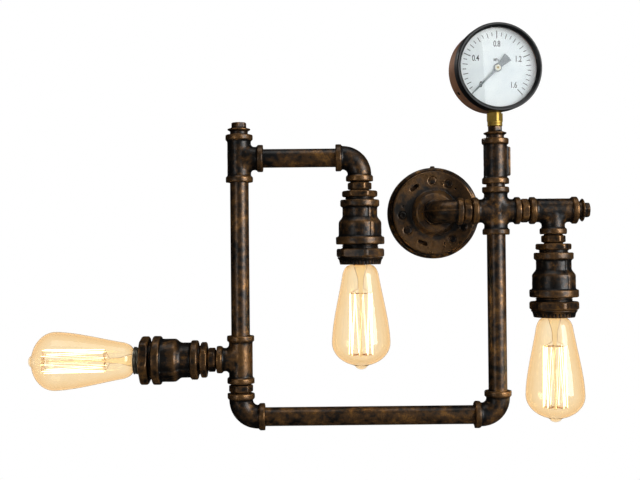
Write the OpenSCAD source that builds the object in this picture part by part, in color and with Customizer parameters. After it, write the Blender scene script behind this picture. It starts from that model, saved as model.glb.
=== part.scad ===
// Wall lamp built from half-inch iron pipe fittings, with three bare bulbs and a pressure gauge.
// The origin is the middle of the canopy's back face. The wall is the plane y = 0,
// the lamp stands out towards -Y, +X is to the right as the lamp is seen and +Z is up.

/* [Pipe] */
// Outside diameter of the pipe and of every half-inch thread
pipe_od = 21; // [19:0.25:22]
// Wall of the pipe
pipe_wall = 2.6; // [1.8:0.1:3.2]
// Length of thread inside each fitting
thread_engage = 12; // [8:0.5:13]
// Gap all round in a threaded or pushed-in fit
thread_fit = 0.1; // [0.06:0.02:0.2]

/* [Pipe runs] */
// Pipe showing between the cross and the lower right elbow
column_show = 175; // [120:1:260]
// Pipe showing between the two lower elbows
bottom_show = 235; // [200:1:320]
// Pipe showing between the left tee and the top left tee
left_show = 172; // [140:1:260]
// Pipe showing along the arm of the middle lamp
arm_show = 81.5; // [60:0.5:95]

/* [Fittings] */
// Middle of a fitting to the face of each port
reach = 27; // [26:0.5:34]
// Outside diameter of a fitting between its bands
body_od = 26.3; // [25.5:0.1:28]
// Outside diameter of the band round each port
band_od = 30.5; // [29:0.25:34]
// Width of the band
band_w = 6.5; // [4:0.25:7]
// Rounding of a band's edges
band_edge = 1.1; // [0.6:0.1:1.6]
// Radius of the bend through an elbow
elbow_bend = 19; // [17.5:0.25:19.25]
// Hollow radius in the corners of a tee or cross
corner_hollow = 5; // [3:0.5:6]

/* [Nipples and plugs] */
// Gap between two fittings that a hex nipple joins
nipple_show = 10.5; // [9.5:0.5:16]
// Width of a nipple's hex
nipple_hex_w = 8; // [5:0.25:9]
// Size across the flats of a nipple's hex
nipple_af = 24.5; // [23.5:0.5:28]
// Bore of a nipple
nipple_bore = 15; // [14:0.25:16]
// Gap between the cross and the socket under the gauge
gauge_neck = 3.2; // [1.5:0.1:8]
// Length of the ribbed socket under the gauge
gauge_socket_len = 51.6; // [48:0.2:56]
// Height of the rib along that socket
gauge_rib_h = 3.9; // [1:0.1:5]
// Width of that rib
gauge_rib_w = 6; // [4:0.25:8]
// Neck of a plug below its bead
plug_neck = 3.6; // [2:0.1:6]
// Diameter of a plug's bead
plug_bead_od = 26.2; // [24:0.2:30]
// Height of a plug's bead
plug_bead_h = 4.4; // [3:0.1:6]
// Size across the flats of a plug's hex head
plug_head_af = 15.6; // [14.5:0.2:19]
// Height of a plug's hex head
plug_head_h = 5.6; // [4:0.1:9]

/* [Canopy and flange] */
// Diameter of the canopy at the wall
canopy_od = 107; // [104:0.5:116]
// Depth of the canopy
canopy_depth = 18; // [17:0.5:26]
// Sheet thickness of the canopy
canopy_wall = 1.5; // [1:0.1:2]
// Rounding of the canopy's front edge
canopy_edge = 4; // [2.5:0.25:4.5]
// Diameter of the flange plate
flange_od = 98; // [90:0.5:98.5]
// Thickness of the flange plate
flange_thick = 6; // [5:0.25:9]
// Diameter of the flange's hub at its foot
hub_foot_od = 53; // [48:0.5:56]
// Diameter of the flange's hub at its top
hub_od = 46; // [40:0.5:47]
// Height of the hub above the plate
hub_height = 11; // [8:0.5:16]
// Gap between the hub and the wall elbow
wall_neck = 3; // [1.5:0.25:6]
// Distance of the plate's screws, rivets and slots from its middle
flange_ring_r = 37.5; // [36:0.25:40]
// Diameter of the screw and rivet heads on the plate
flange_head_d = 7.5; // [6:0.25:8]
// Shank diameter of the plate's screws and rivets
flange_shank_d = 4; // [3:0.25:4.5]
// Length of each slot in the plate, end to end
flange_slot_len = 11.5; // [8:0.5:13]
// Width of each slot in the plate
flange_slot_w = 4.2; // [3:0.2:5]
// Diameter of the small drilled holes in the plate
flange_pin_d = 2; // [1.2:0.1:2.5]
// Height of the lock nut behind the canopy's front
lock_nut_h = 5; // [4:0.25:6]
// Size across the flats of the lock nut
lock_nut_af = 29; // [26:0.5:32]

/* [Wall bracket] */
// Sheet thickness of the wall bracket
bracket_thick = 2; // [1.5:0.1:3]
// Width of the bracket's strip
bracket_w = 24; // [20:0.5:26]
// Distance between the two wall screw slots
bracket_slot_gap = 60; // [50:1:66]
// Width of a wall screw slot
bracket_slot_w = 5; // [4:0.25:6]
// Length of a wall screw slot, end to end
bracket_slot_len = 12; // [8:0.5:16]
// Diameter of the opening for the house wires
bracket_wire_d = 15; // [10:0.5:17]
// Width of the bent ears
bracket_ear_w = 14; // [10:0.5:20]
// Height of the bent ears from the wall
bracket_ear_h = 12; // [10:0.5:13]
// Distance of the canopy's side screw from the wall
side_screw_y = 7.5; // [6:0.25:8.5]
// Thread diameter of the canopy's side screw
side_screw_d = 4; // [3:0.25:5]
// Length of the terminal block
terminal_len = 25; // [18:0.5:27]
// Width of the terminal block
terminal_w = 16; // [14:0.5:18]
// Height of the terminal block
terminal_h = 10; // [8:0.25:11]

/* [Lamp sockets] */
// Hex width of the reducing bush
bush_hex_w = 7; // [5:0.25:9]
// Size across the flats of the reducing bush
bush_af = 36; // [34.5:0.5:39]
// Thread showing below the reducing bush
bush_neck = 3; // [1:0.25:5]
// Thread diameter of the reducing bush
bush_thread_d = 33.2; // [31:0.2:34]
// Length of the reducing bush's thread inside the reducer
bush_engage = 14; // [12.5:0.5:15]
// Length of the reducer
reducer_len = 50.5; // [46:0.5:60]
// Band diameter at the reducer's small end
reducer_small_band_od = 44.5; // [43:0.25:46]
// Body diameter at the reducer's small end
reducer_small_od = 39.6; // [38.5:0.2:41.5]
// Body diameter at the reducer's large end
reducer_large_od = 48.6; // [47:0.2:51]
// Band diameter at the reducer's large end
reducer_large_band_od = 55; // [52.5:0.25:58]
// Width of the reducer's small band
reducer_small_band_w = 8; // [6:0.25:9]
// Width of the reducer's large band
reducer_large_band_w = 9; // [7:0.25:10]
// Height of the two ribs along the reducer
reducer_rib_h = 0.8; // [0.4:0.1:1.2]
// Thread showing below the reducer
mouth_neck = 4.5; // [2:0.25:7]
// Hex width of the mouth bush
mouth_hex_w = 9.5; // [7:0.25:12]
// Size across the flats of the mouth bush
mouth_af = 49.5; // [46:0.5:53]
// Wall of the mouth bush's thread
mouth_wall = 2.75; // [2:0.05:3]
// Length of the mouth bush's thread inside the reducer
mouth_engage = 14; // [11:0.5:15]
// Wall of the lampholder's insulating body
holder_wall = 2.4; // [1.8:0.1:2.6]
// Flange by which the lampholder seats behind the mouth bush
holder_flange = 1.6; // [1:0.1:2]
// Wall of the lampholder's screw shell with its rolled thread
shell_wall = 1.9; // [1.5:0.1:2.1]
// How far the screw shell stands out of the mouth bush
shell_show = 7.5; // [5:0.25:10]
// Flange diameter of the shade ring
shade_flange_od = 51.8; // [48:0.2:54]
// Diameter of the shade ring at its lower edge
shade_lip_od = 45.7; // [42:0.2:47]
// Height of the shade ring
shade_h = 8.5; // [8:0.25:11]
// Number of notches round the shade ring
shade_notches = 36; // [20:2:44]

/* [Bulb] */
// Diameter of the bulb's screw cap
cap_od = 26.2; // [25.5:0.1:27]
// Length of the screw cap from its rim to its contact
cap_len = 25; // [23:0.5:26]
// Gap between the screw cap and the screw shell
cap_fit = 0.45; // [0.35:0.05:0.6]
// Largest diameter of the glass
bulb_od = 65.8; // [58:0.2:72]
// Length of glass that shows
bulb_len = 118; // [110:1:130]
// Distance from the mouth to the widest place
bulb_belly = 88; // [80:1:92]
// Glass thickness
bulb_wall = 0.9; // [0.7:0.1:1.2]
// Number of filament strands in the cage
filament_strands = 9; // [6:1:12]
// Thickness of a filament strand
filament_d = 0.8; // [0.6:0.1:1.2]

/* [Gauge] */
// Outside diameter of the gauge's bezel
gauge_od = 99; // [90:0.5:108]
// Width of the bezel's front from its rim to the dial
bezel_w = 5.2; // [4.5:0.1:8]
// Depth of the gauge's case behind the window
case_depth = 34; // [28:0.5:40]
// Sheet thickness of the case
case_wall = 1.6; // [1.2:0.1:2]
// How far the bezel stands in front of the window
bezel_front = 4.5; // [3:0.25:7]
// Angle by which the gauge is turned to the right
gauge_turn = 9; // [-15:1:15]
// Diameter of the stem's round collar
stem_collar_d = 16.8; // [15:0.2:19]
// Height of the stem's round collar
stem_collar_h = 5.5; // [4:0.25:8]
// Size across the flats of the stem's square
stem_square = 14.7; // [13.6:0.1:17]
// Flat across the corners of the stem's square
stem_chamfer = 2.7; // [1.5:0.1:3.5]
// Height of the stem's square
stem_square_h = 9.1; // [7:0.1:16]
// Turn of the stem's square against the dial
stem_turn = -42; // [-45:1:45]
// Thread diameter of the stem
stem_thread_d = 12.8; // [10:0.2:13]
// Sweep of the dial from its first to its last mark
dial_sweep = 270; // [240:5:280]
// Tooth size of the pointer's gears
gear_module = 0.5; // [0.46:0.01:0.54]
// Teeth on the pinion
pinion_teeth = 10; // [10:1:11]
// Turns of the pinion for one turn of the sector
gear_ratio = 8; // [7.5:0.5:8]

/* [Hidden] */
$fn = 64;

bronze = "#4a3524";
dark_bronze = "#33261c";
brass = "#b08d3f";
steel = "#9a9a98";
nickel = "#c8c6be";
bakelite = "#1d1b1a";
white_nylon = "#e6e4dc";
black_enamel = "#17191c";
dial_white = "#eef1f3";
amber_glass = "#f2c98a";
clear_glass = "#cfe0e6";
glow = "#ffd27a";
lead_red = "#6b2b22";

// Places along the pipework, all in the plane of the pipe axes
standoff = canopy_depth + flange_thick + hub_height + wall_neck + reach;
pipe_y = -standoff;
cross_x = 2 * reach + nipple_show;
right_x = cross_x + 2 * reach + nipple_show;
bottom_z = -2 * reach - column_show;
left_x = cross_x - 2 * reach - bottom_show;
left_tee_z = bottom_z + 2 * reach + nipple_show;
top_z = left_tee_z + 2 * reach + left_show;
arm_x = left_x + 2 * reach + arm_show;
gauge_socket_z = reach + gauge_neck + gauge_socket_len / 2;
overcut = 1;

// Turns of the hexes about their own axes
nipple_turn = 9;
plug_turn = 20;
bush_turn = 5;
mouth_turn = 18;

// Radii that several pieces share
pipe_r = pipe_od / 2;
pipe_bore_r = pipe_r - pipe_wall;
thread_hole_r = pipe_r + thread_fit;
body_r = body_od / 2;
branch_step = 0.15;
branch_r = body_r - branch_step;
branch_bore_r = pipe_bore_r - branch_step;
band_r = band_od / 2;
corner_bend = body_r + corner_hollow;
corner_step = 0.6;
corner_tube_r = body_r - corner_step;

// Points of an arc round [x, y] from angle a to angle b
function arc(x, y, r, a, b, steps) =
    [for (k = [0:steps]) let (t = a + (b - a) * k / steps) [x + r * cos(t), y + r * sin(t)]];

// Point of a cubic curve through a and d with handles b and c
function curve(a, b, c, d, t) =
    pow(1 - t, 3) * a + 3 * pow(1 - t, 2) * t * b + 3 * (1 - t) * t * t * c + t * t * t * d;

function unit(v) = v / norm(v);

// Half-round edge of a band, from its lower to its upper corner
function band_outline(r, low, high, edge) = concat(
    arc(r - edge, low + edge, edge, -90, 0, 3),
    arc(r - edge, high - edge, edge, 0, 90, 3));

module lathe(points) rotate_extrude() polygon(points);

module tube(r, bore_r, low, high) {
    difference() {
        translate([0, 0, low]) cylinder(r = r, h = high - low);
        translate([0, 0, low - overcut]) cylinder(r = bore_r, h = high - low + 2 * overcut);
    }
}

// Hex with its corners turned off, from low to high along Z
hex_turned = 0.965;
hex_edge = 0.5;
module hex(af, low, high) {
    corner = af / sqrt(3);
    turned = corner * hex_turned;
    edge = corner - turned + hex_edge;
    intersection() {
        translate([0, 0, low]) cylinder(r = corner, h = high - low, $fn = 6);
        lathe([[0, low], [turned - edge, low], [turned, low + edge],
               [turned, high - edge], [turned - edge, high], [0, high]]);
    }
}

// Turns +Z so that it runs along an axis of the frame
module along(axis) {
    turn = axis == "x" ? [0, 90, 0] : axis == "-x" ? [0, -90, 0] : axis == "-z" ? [180, 0, 0] :
        axis == "y" ? [-90, 0, 0] : axis == "-y" ? [90, 0, 0] : [0, 0, 0];
    rotate(turn) children();
}

// One port of a fitting along +Z: round body, then the band at its face
module port(r, start, face = reach) {
    lathe(concat([[0, start], [r, start], [r, face - band_w - band_edge]],
        band_outline(band_r, face - band_w, face, band_edge), [[0, face]]));
}

module port_hole(face = reach) {
    translate([0, 0, face - thread_engage - overcut])
        cylinder(r = thread_hole_r, h = thread_engage + 2 * overcut);
}

// Quarter of a ring from a +X port round to a +Z port
module quarter_bend(r, bend) {
    multmatrix([[0, -1, 0, bend], [0, 0, 1, 0], [-1, 0, 0, bend], [0, 0, 0, 1]])
        rotate_extrude(angle = 90) translate([bend, 0]) circle(r = r);
}

// Elbow with ports along +X and +Z
module elbow() {
    difference() {
        union() {
            along("x") port(body_r, elbow_bend);
            along("z") port(body_r, elbow_bend);
            quarter_bend(body_r, elbow_bend);
        }
        along("x") port_hole();
        along("z") port_hole();
        quarter_bend(pipe_bore_r, elbow_bend);
    }
}

// Tee with its run along Z and its branch along +X
module tee() {
    difference() {
        union() {
            along("z") port(body_r, 0);
            along("-z") port(body_r, 0);
            along("x") port(branch_r, 0);
            quarter_bend(corner_tube_r, corner_bend);
            mirror([0, 0, 1]) quarter_bend(corner_tube_r, corner_bend);
        }
        translate([0, 0, -reach - overcut]) cylinder(r = pipe_bore_r, h = 2 * (reach + overcut));
        along("x") cylinder(r = branch_bore_r, h = reach + overcut);
        along("z") port_hole();
        along("-z") port_hole();
        along("x") port_hole();
    }
}

// Cross with ports along X and Z, both ways
module cross_fitting() {
    difference() {
        union() {
            for (way = ["z", "-z"]) along(way) port(body_r, 0);
            for (way = ["x", "-x"]) along(way) port(branch_r, 0);
            for (m = [[0, 0], [1, 0], [0, 1], [1, 1]])
                scale([1 - 2 * m[0], 1, 1 - 2 * m[1]]) quarter_bend(corner_tube_r, corner_bend);
        }
        translate([0, 0, -reach - overcut]) cylinder(r = pipe_bore_r, h = 2 * (reach + overcut));
        along("x") translate([0, 0, -reach - overcut])
            cylinder(r = branch_bore_r, h = 2 * (reach + overcut));
        for (way = ["x", "-x", "z", "-z"]) along(way) port_hole();
    }
}

// Straight socket along Z with a rib on its right, between the bands
rib_end_gap = 3;
rib_slope = 1;
module ribbed_socket() {
    face = gauge_socket_len / 2;
    rib_end = face - band_w - rib_end_gap;
    rib_r = body_r + gauge_rib_h;
    difference() {
        union() {
            for (way = ["z", "-z"]) along(way) port(body_r, 0, face);
            rotate([90, 0, 0]) translate([0, 0, -gauge_rib_w / 2]) linear_extrude(gauge_rib_w)
                polygon([[0, -rib_end], [rib_r - rib_slope, -rib_end], [rib_r, -rib_end + rib_slope],
                         [rib_r, rib_end - rib_slope], [rib_r - rib_slope, rib_end], [0, rib_end]]);
        }
        translate([0, 0, -face - overcut]) cylinder(r = pipe_bore_r, h = 2 * (face + overcut));
        for (way = ["z", "-z"]) along(way) port_hole(face);
    }
}

// Length of pipe from one fitting's face to the next along +Z, with its two threaded ends
module pipe(show) {
    tube(pipe_r, pipe_bore_r, -thread_engage, show + thread_engage);
}

// Hex nipple that starts at a fitting's face and runs along +Z
module hex_nipple() {
    low = (nipple_show - nipple_hex_w) / 2;
    difference() {
        union() {
            translate([0, 0, -thread_engage]) cylinder(r = pipe_r, h = nipple_show + 2 * thread_engage);
            rotate(nipple_turn) hex(nipple_af, low, low + nipple_hex_w);
        }
        translate([0, 0, -thread_engage - overcut])
            cylinder(r = nipple_bore / 2, h = nipple_show + 2 * (thread_engage + overcut));
    }
}

// Neck, bead and hex head of a plug above a fitting's face
plug_neck_cut = 0.4;
plug_lip = 0.8;
plug_wall = 3.6;
module plug_body() {
    bead_low = plug_neck;
    bead_mid = plug_neck + plug_bead_h / 2;
    bead_top = plug_neck + plug_bead_h;
    bead_r = plug_bead_od / 2;
    neck_r = pipe_r - plug_neck_cut;
    lip = plug_lip;
    lathe(concat(
        [[0, -thread_engage], [pipe_r, -thread_engage], [pipe_r, 0], [neck_r, 0], [neck_r, bead_low]],
        arc(bead_r - lip, bead_mid, lip, -60, 60, 4),
        [[plug_head_af / 2, bead_top], [0, bead_top]]));
    rotate(plug_turn) hex(plug_head_af, bead_top - overcut, bead_top + plug_head_h);
}

module plug() {
    difference() {
        plug_body();
        translate([0, 0, -thread_engage - overcut]) cylinder(r = pipe_r - plug_wall, h = thread_engage);
    }
}

// Frame with its Z axis out of the wall, X to the right and Y up
module from_wall() rotate([90, 0, 0]) children();

// Places of three like features round the flange, starting at an angle
module round_flange(start) {
    for (k = [0:2]) rotate(start + 120 * k) translate([flange_ring_r, 0, 0]) children();
}
screw_start = 64;
rivet_start = 93;
slot_start = 128;
pin_start = 48;

// Inside radius of the canopy, and where its bent ears stand
canopy_in_r = canopy_od / 2 - canopy_wall;
ear_y = sqrt(pow(canopy_in_r - thread_fit, 2) - pow(bracket_ear_w / 2, 2));
strip_y = sqrt(pow(canopy_in_r - thread_fit, 2) - pow(bracket_w / 2, 2));
lock_low = canopy_depth - canopy_wall - lock_nut_h;
nipple_tail = 2.5;
nipple_low = lock_low - nipple_tail;
terminal_gap = 1.5;
terminal_x = -lock_nut_af / sqrt(3) - terminal_gap;

module slot(length, width, low, high) {
    for (end = [-1, 1]) translate([end * (length - width) / 2, 0, low])
        cylinder(d = width, h = high - low);
    translate([-(length - width) / 2, -width / 2, low]) cube([length - width, width, high - low]);
}

// Steel strip screwed to the wall, with an ear bent out at each end and an arm for the terminals
module wall_bracket() color(steel) from_wall() difference() {
    union() {
        translate([-bracket_w / 2, -strip_y, 0]) cube([bracket_w, 2 * strip_y, bracket_thick]);
        translate([terminal_x - terminal_len, -terminal_w / 2, 0])
            cube([terminal_len - terminal_x, terminal_w, bracket_thick]);
        for (side = [-1, 1])
            translate([-bracket_ear_w / 2, side * (ear_y - bracket_thick / 2) - bracket_thick / 2, 0])
                cube([bracket_ear_w, bracket_thick, bracket_ear_h]);
    }
    for (side = [-1, 1]) translate([0, side * bracket_slot_gap / 2, 0]) rotate(90)
        slot(bracket_slot_len, bracket_slot_w, -overcut, bracket_thick + overcut);
    translate([0, 0, -overcut]) cylinder(d = bracket_wire_d, h = bracket_thick + 2 * overcut);
    translate([0, ear_y - bracket_thick - overcut, side_screw_y]) rotate([-90, 0, 0])
        cylinder(r = side_screw_d / 2 + thread_fit, h = bracket_thick + 2 * overcut);
}

// Pressed steel cup that covers the wall bracket
module canopy() color(bronze) from_wall() difference() {
    r = canopy_od / 2;
    in_edge = canopy_edge - canopy_wall;
    lathe(concat(
        [[r, 0]],
        arc(r - canopy_edge, canopy_depth - canopy_edge, canopy_edge, 0, 90, 5),
        [[thread_hole_r, canopy_depth], [thread_hole_r, canopy_depth - canopy_wall]],
        arc(r - canopy_edge, canopy_depth - canopy_edge, in_edge, 90, 0, 5),
        [[canopy_in_r, 0]]));
    round_flange(screw_start) shank_hole();
    round_flange(rivet_start) shank_hole();
    translate([0, canopy_in_r - overcut * 2, side_screw_y]) rotate([-90, 0, 0])
        cylinder(r = side_screw_d / 2 + thread_fit, h = canopy_wall + 4 * overcut);
}

module shank_hole() {
    translate([0, 0, canopy_depth - canopy_wall - overcut])
        cylinder(r = flange_shank_d / 2 + thread_fit, h = canopy_wall + flange_thick + 2 * overcut);
}

// Screw through the canopy's rim into the bracket's upper ear
side_head_d = side_screw_d + 1.6;
side_head_h = 2.2;
side_head_edge = 0.8;
side_tail = 1.5;
module side_screw() color(dark_bronze) from_wall()
    translate([0, 0, side_screw_y]) rotate([-90, 0, 0]) {
        foot = ear_y - bracket_thick - side_tail;
        seat = canopy_od / 2 + thread_fit;
        head_r = side_head_d / 2;
        head_top = seat + side_head_h;
        translate([0, 0, foot]) cylinder(d = side_screw_d, h = seat - foot);
        lathe([[0, seat], [head_r, seat], [head_r, head_top - side_head_edge],
               [head_r - side_head_edge, head_top], [0, head_top]]);
    }

// Nylon terminal block on the bracket's arm, with a turret and a screw well for each pole
module terminal_block() color(white_nylon) from_wall()
    translate([terminal_x - terminal_len, 0, bracket_thick]) {
        pole = terminal_len / 3;
        turret_d = pole * 0.8;
        well_d = pole * 0.54;
        base_h = terminal_h * 0.7;
        well_floor = terminal_h * 0.4;
        difference() {
            union() {
                translate([0, -terminal_w / 2, 0]) cube([terminal_len, terminal_w, base_h]);
                for (k = [0:2], side = [-1, 1])
                    translate([pole * (k + 0.5), side * terminal_w / 4, 0])
                        cylinder(d = turret_d, h = terminal_h);
            }
            for (k = [0:2], side = [-1, 1])
                translate([pole * (k + 0.5), side * terminal_w / 4, well_floor])
                    cylinder(d = well_d, h = terminal_h);
        }
    }

// Cast flange plate with its hub, three screw holes, three rivet holes, slots and pin holes
flange_edge = 1.8;
hub_edge = 2.5;
hub_fillet = 1.5;
flange_pin_depth = 3;
module flange() color(bronze) from_wall() difference() {
    edge = flange_edge;
    top = canopy_depth + flange_thick;
    hub_top = top + hub_height;
    foot_r = hub_foot_od / 2;
    hub_r = hub_od / 2;
    lathe(concat(
        [[thread_hole_r, canopy_depth], [flange_od / 2 - edge / 2, canopy_depth]],
        arc(flange_od / 2 - edge, top - edge, edge, 0, 90, 4),
        arc(foot_r + hub_fillet, top + hub_fillet, hub_fillet, 270, 190, 3),
        arc(hub_r - hub_edge, hub_top - hub_edge, hub_edge, 15, 90, 4),
        [[thread_hole_r, hub_top]]));
    round_flange(screw_start) shank_hole();
    round_flange(rivet_start) shank_hole();
    round_flange(slot_start) rotate(90)
        slot(flange_slot_len, flange_slot_w, canopy_depth - overcut, top + overcut);
    round_flange(pin_start) translate([0, 0, top - flange_pin_depth])
        cylinder(d = flange_pin_d, h = flange_pin_depth + overcut);
}

// Domed head on a shank, standing on the flange plate
module flange_stud(head_h, dome, tail) {
    top = canopy_depth + flange_thick;
    head_r = flange_head_d / 2;
    translate([0, 0, canopy_depth - canopy_wall - tail])
        cylinder(d = flange_shank_d, h = flange_thick + canopy_wall + tail);
    lathe([[0, top], [head_r, top], [head_r, top + head_h - dome],
           [head_r - dome, top + head_h], [0, top + head_h]]);
}

// Pan-head screws with a cross recess
flange_screw_h = 1.8;
flange_screw_tail = 3;
recess_w = 1.1;
recess_len = 3.8;
recess_depth = 1.2;
module flange_screws() color(dark_bronze) from_wall()
    round_flange(screw_start) difference() {
        recess_low = canopy_depth + flange_thick + flange_screw_h - recess_depth;
        flange_stud(flange_screw_h, 0.5, flange_screw_tail);
        for (turn = [0, 90]) rotate(turn) translate([-recess_len / 2, -recess_w / 2, recess_low])
            cube([recess_len, recess_w, recess_depth + overcut]);
    }

// Low rivets, closed behind the canopy's front
flange_rivet_h = 1.1;
flange_rivet_tail = 1.5;
module flange_rivets() color(bronze) from_wall()
    round_flange(rivet_start) {
        flange_stud(flange_rivet_h, 0.4, flange_rivet_tail);
        translate([0, 0, canopy_depth - canopy_wall - flange_rivet_tail])
            cylinder(d = flange_head_d - 1, h = flange_rivet_tail);
    }

// Threaded tube that carries the pipework through the flange and canopy
module wall_nipple() color(dark_bronze) from_wall()
    tube(pipe_r, nipple_bore / 2, nipple_low, standoff - reach + thread_engage);

// Nut that clamps flange and canopy together from behind
module lock_nut() color(steel) from_wall() difference() {
    hex(lock_nut_af, lock_low, lock_low + lock_nut_h);
    translate([0, 0, lock_low - overcut]) cylinder(r = thread_hole_r, h = lock_nut_h + 2 * overcut);
}

module at_pipe(x, z) translate([x, pipe_y, z]) children();

module wall_elbow() color(bronze) at_pipe(0, 0) rotate([-90, 0, 0]) elbow();
module cross() color(bronze) at_pipe(cross_x, 0) cross_fitting();
module right_tee() color(bronze) at_pipe(right_x, 0) rotate([0, 90, 0]) tee();
module lower_right_elbow() color(bronze) at_pipe(cross_x, bottom_z) rotate([0, 0, 180]) elbow();
module lower_left_elbow() color(bronze) at_pipe(left_x, bottom_z) elbow();
module left_tee() color(bronze) at_pipe(left_x, left_tee_z) rotate([0, 0, 180]) tee();
module top_tee() color(bronze) at_pipe(left_x, top_z) tee();
module arm_elbow() color(bronze) at_pipe(arm_x, top_z) rotate([0, 180, 0]) elbow();
module gauge_socket() color(bronze) at_pipe(cross_x, gauge_socket_z) ribbed_socket();

module column_pipe() color(dark_bronze) at_pipe(cross_x, -reach) along("-z") pipe(column_show);
module bottom_pipe() color(dark_bronze) at_pipe(cross_x - reach, bottom_z) along("-x") pipe(bottom_show);
module left_pipe() color(dark_bronze) at_pipe(left_x, left_tee_z + reach) along("z") pipe(left_show);
module arm_pipe() color(dark_bronze) at_pipe(left_x + reach, top_z) along("x") pipe(arm_show);
module gauge_nipple() color(dark_bronze) at_pipe(cross_x, reach)
    tube(pipe_r, nipple_bore / 2, -thread_engage, gauge_neck + thread_engage);

// Plugs in the open ends of the right tee and the top left tee
module pipe_plugs() color(bronze) {
    at_pipe(right_x + reach, 0) along("x") plug();
    at_pipe(left_x, top_z + reach) along("z") plug();
}

// Lamp sockets: each starts at a fitting's face, with +Z of its own frame out to the bulb
LEFT = 0;
MIDDLE = 1;
RIGHT = 2;
module at_lamp(lamp) {
    if (lamp == LEFT) at_pipe(left_x - reach, left_tee_z) along("-x") children();
    if (lamp == MIDDLE) at_pipe(arm_x, top_z - reach) along("-z") children();
    if (lamp == RIGHT) at_pipe(right_x, -reach) along("-z") children();
}

// Hex nipples between wall elbow, cross and right tee, below the left tee, and at each lamp
module hex_nipples() color(bronze) {
    at_pipe(reach, 0) along("x") hex_nipple();
    at_pipe(cross_x + reach, 0) along("x") hex_nipple();
    at_pipe(left_x, bottom_z + reach) along("z") hex_nipple();
    for (lamp = [LEFT:RIGHT]) at_lamp(lamp) hex_nipple();
}

// Places along a lamp's axis, from the fitting's face
bush_low = nipple_show;
reducer_low = bush_low + bush_hex_w + bush_neck;
reducer_high = reducer_low + reducer_len;
mouth_low = reducer_high + mouth_neck;
mouth_face = mouth_low + mouth_hex_w;
mouth_back = reducer_high - mouth_engage;
shell_end = mouth_face + shell_show;
bulb_mouth = mouth_face + shade_h;

// Radii from the bulb's cap out to the reducer
cap_r = cap_od / 2;
shell_in_r = cap_r + cap_fit;
shell_r = shell_in_r + shell_wall;
holder_in_r = shell_r + thread_fit;
holder_r = holder_in_r + holder_wall;
mouth_bore_r = holder_r + thread_fit;
mouth_thread_r = mouth_bore_r + mouth_wall;
large_socket_r = mouth_thread_r + thread_fit;
small_socket_r = bush_thread_d / 2 + thread_fit;
cap_low = bulb_mouth - cap_len;
contact_h = 3;
contact_low = cap_low - contact_h;
contact_room = 4;
holder_floor = contact_low - contact_room;
holder_floor_thick = 6;
holder_flange_len = 4;
holder_back = min(holder_floor - holder_floor_thick, mouth_back - 2 * holder_flange_len);

// Hex bush with a half-inch hole, screwed into the small end of the reducer
module reducing_bushes() color(bronze)
    for (lamp = [LEFT:RIGHT]) at_lamp(lamp) difference() {
        hex_top = bush_low + bush_hex_w;
        union() {
            rotate(bush_turn) hex(bush_af, bush_low, hex_top);
            translate([0, 0, hex_top - overcut])
                cylinder(d = bush_thread_d, h = bush_neck + bush_engage + overcut);
        }
        translate([0, 0, bush_low - overcut])
            cylinder(r = thread_hole_r, h = bush_hex_w + bush_neck + bush_engage + 2 * overcut);
    }

// Outline of the reducer: band, small body, swelling shoulder, large body, band
shoulder_low = 18.2;
shoulder_len = 8;
reducer_edge = 1.3;
rib_angle = 58;
rib_sweep = 11;
socket_relief = 1.5;
throat_r = small_socket_r - 3;
function shoulder(low, r1, r2, steps) = [for (k = [0:steps])
    [r1 + (r2 - r1) * (1 - cos(180 * k / steps)) / 2, low + shoulder_len * k / steps]];

module reducer() {
    small_r = reducer_small_od / 2;
    large_r = reducer_large_od / 2;
    edge = reducer_edge;
    rib_low = reducer_small_band_w / 2;
    rib_high = reducer_len - reducer_large_band_w / 2;
    body = concat(
        [[0, 0]],
        band_outline(reducer_small_band_od / 2, 0, reducer_small_band_w, edge),
        [[small_r, reducer_small_band_w]],
        shoulder(shoulder_low, small_r, large_r, 8),
        [[large_r, reducer_len - reducer_large_band_w]],
        band_outline(reducer_large_band_od / 2, reducer_len - reducer_large_band_w, reducer_len, edge),
        [[0, reducer_len]]);
    rib = concat(
        [[small_r - overcut, rib_low], [small_r + reducer_rib_h, rib_low]],
        shoulder(shoulder_low, small_r + reducer_rib_h, large_r + reducer_rib_h, 6),
        [[large_r + reducer_rib_h, rib_high], [small_r - overcut, rib_high]]);
    small_depth = bush_engage + socket_relief;
    large_low = holder_back - reducer_low - socket_relief;
    color(bronze) difference() {
        union() {
            lathe(body);
            for (turn = [rib_angle, rib_angle + 180])
                rotate(turn - rib_sweep / 2) rotate_extrude(angle = rib_sweep) polygon(rib);
        }
        translate([0, 0, -overcut]) cylinder(r = small_socket_r, h = small_depth + overcut);
        translate([0, 0, -overcut]) cylinder(r = throat_r, h = reducer_len);
        translate([0, 0, large_low]) cylinder(r = large_socket_r, h = reducer_len);
    }
}
module lamp_reducer(lamp) at_lamp(lamp) translate([0, 0, reducer_low]) reducer();

// Hex bush that closes the reducer and holds the lampholder
module mouth_bushes() color(bronze)
    for (lamp = [LEFT:RIGHT]) at_lamp(lamp) difference() {
        union() {
            rotate(mouth_turn) hex(mouth_af, mouth_low, mouth_face);
            translate([0, 0, mouth_back])
                cylinder(r = mouth_thread_r, h = mouth_low - mouth_back + overcut);
        }
        translate([0, 0, mouth_back - overcut])
            cylinder(r = mouth_bore_r, h = mouth_face - mouth_back + 2 * overcut);
    }

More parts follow.
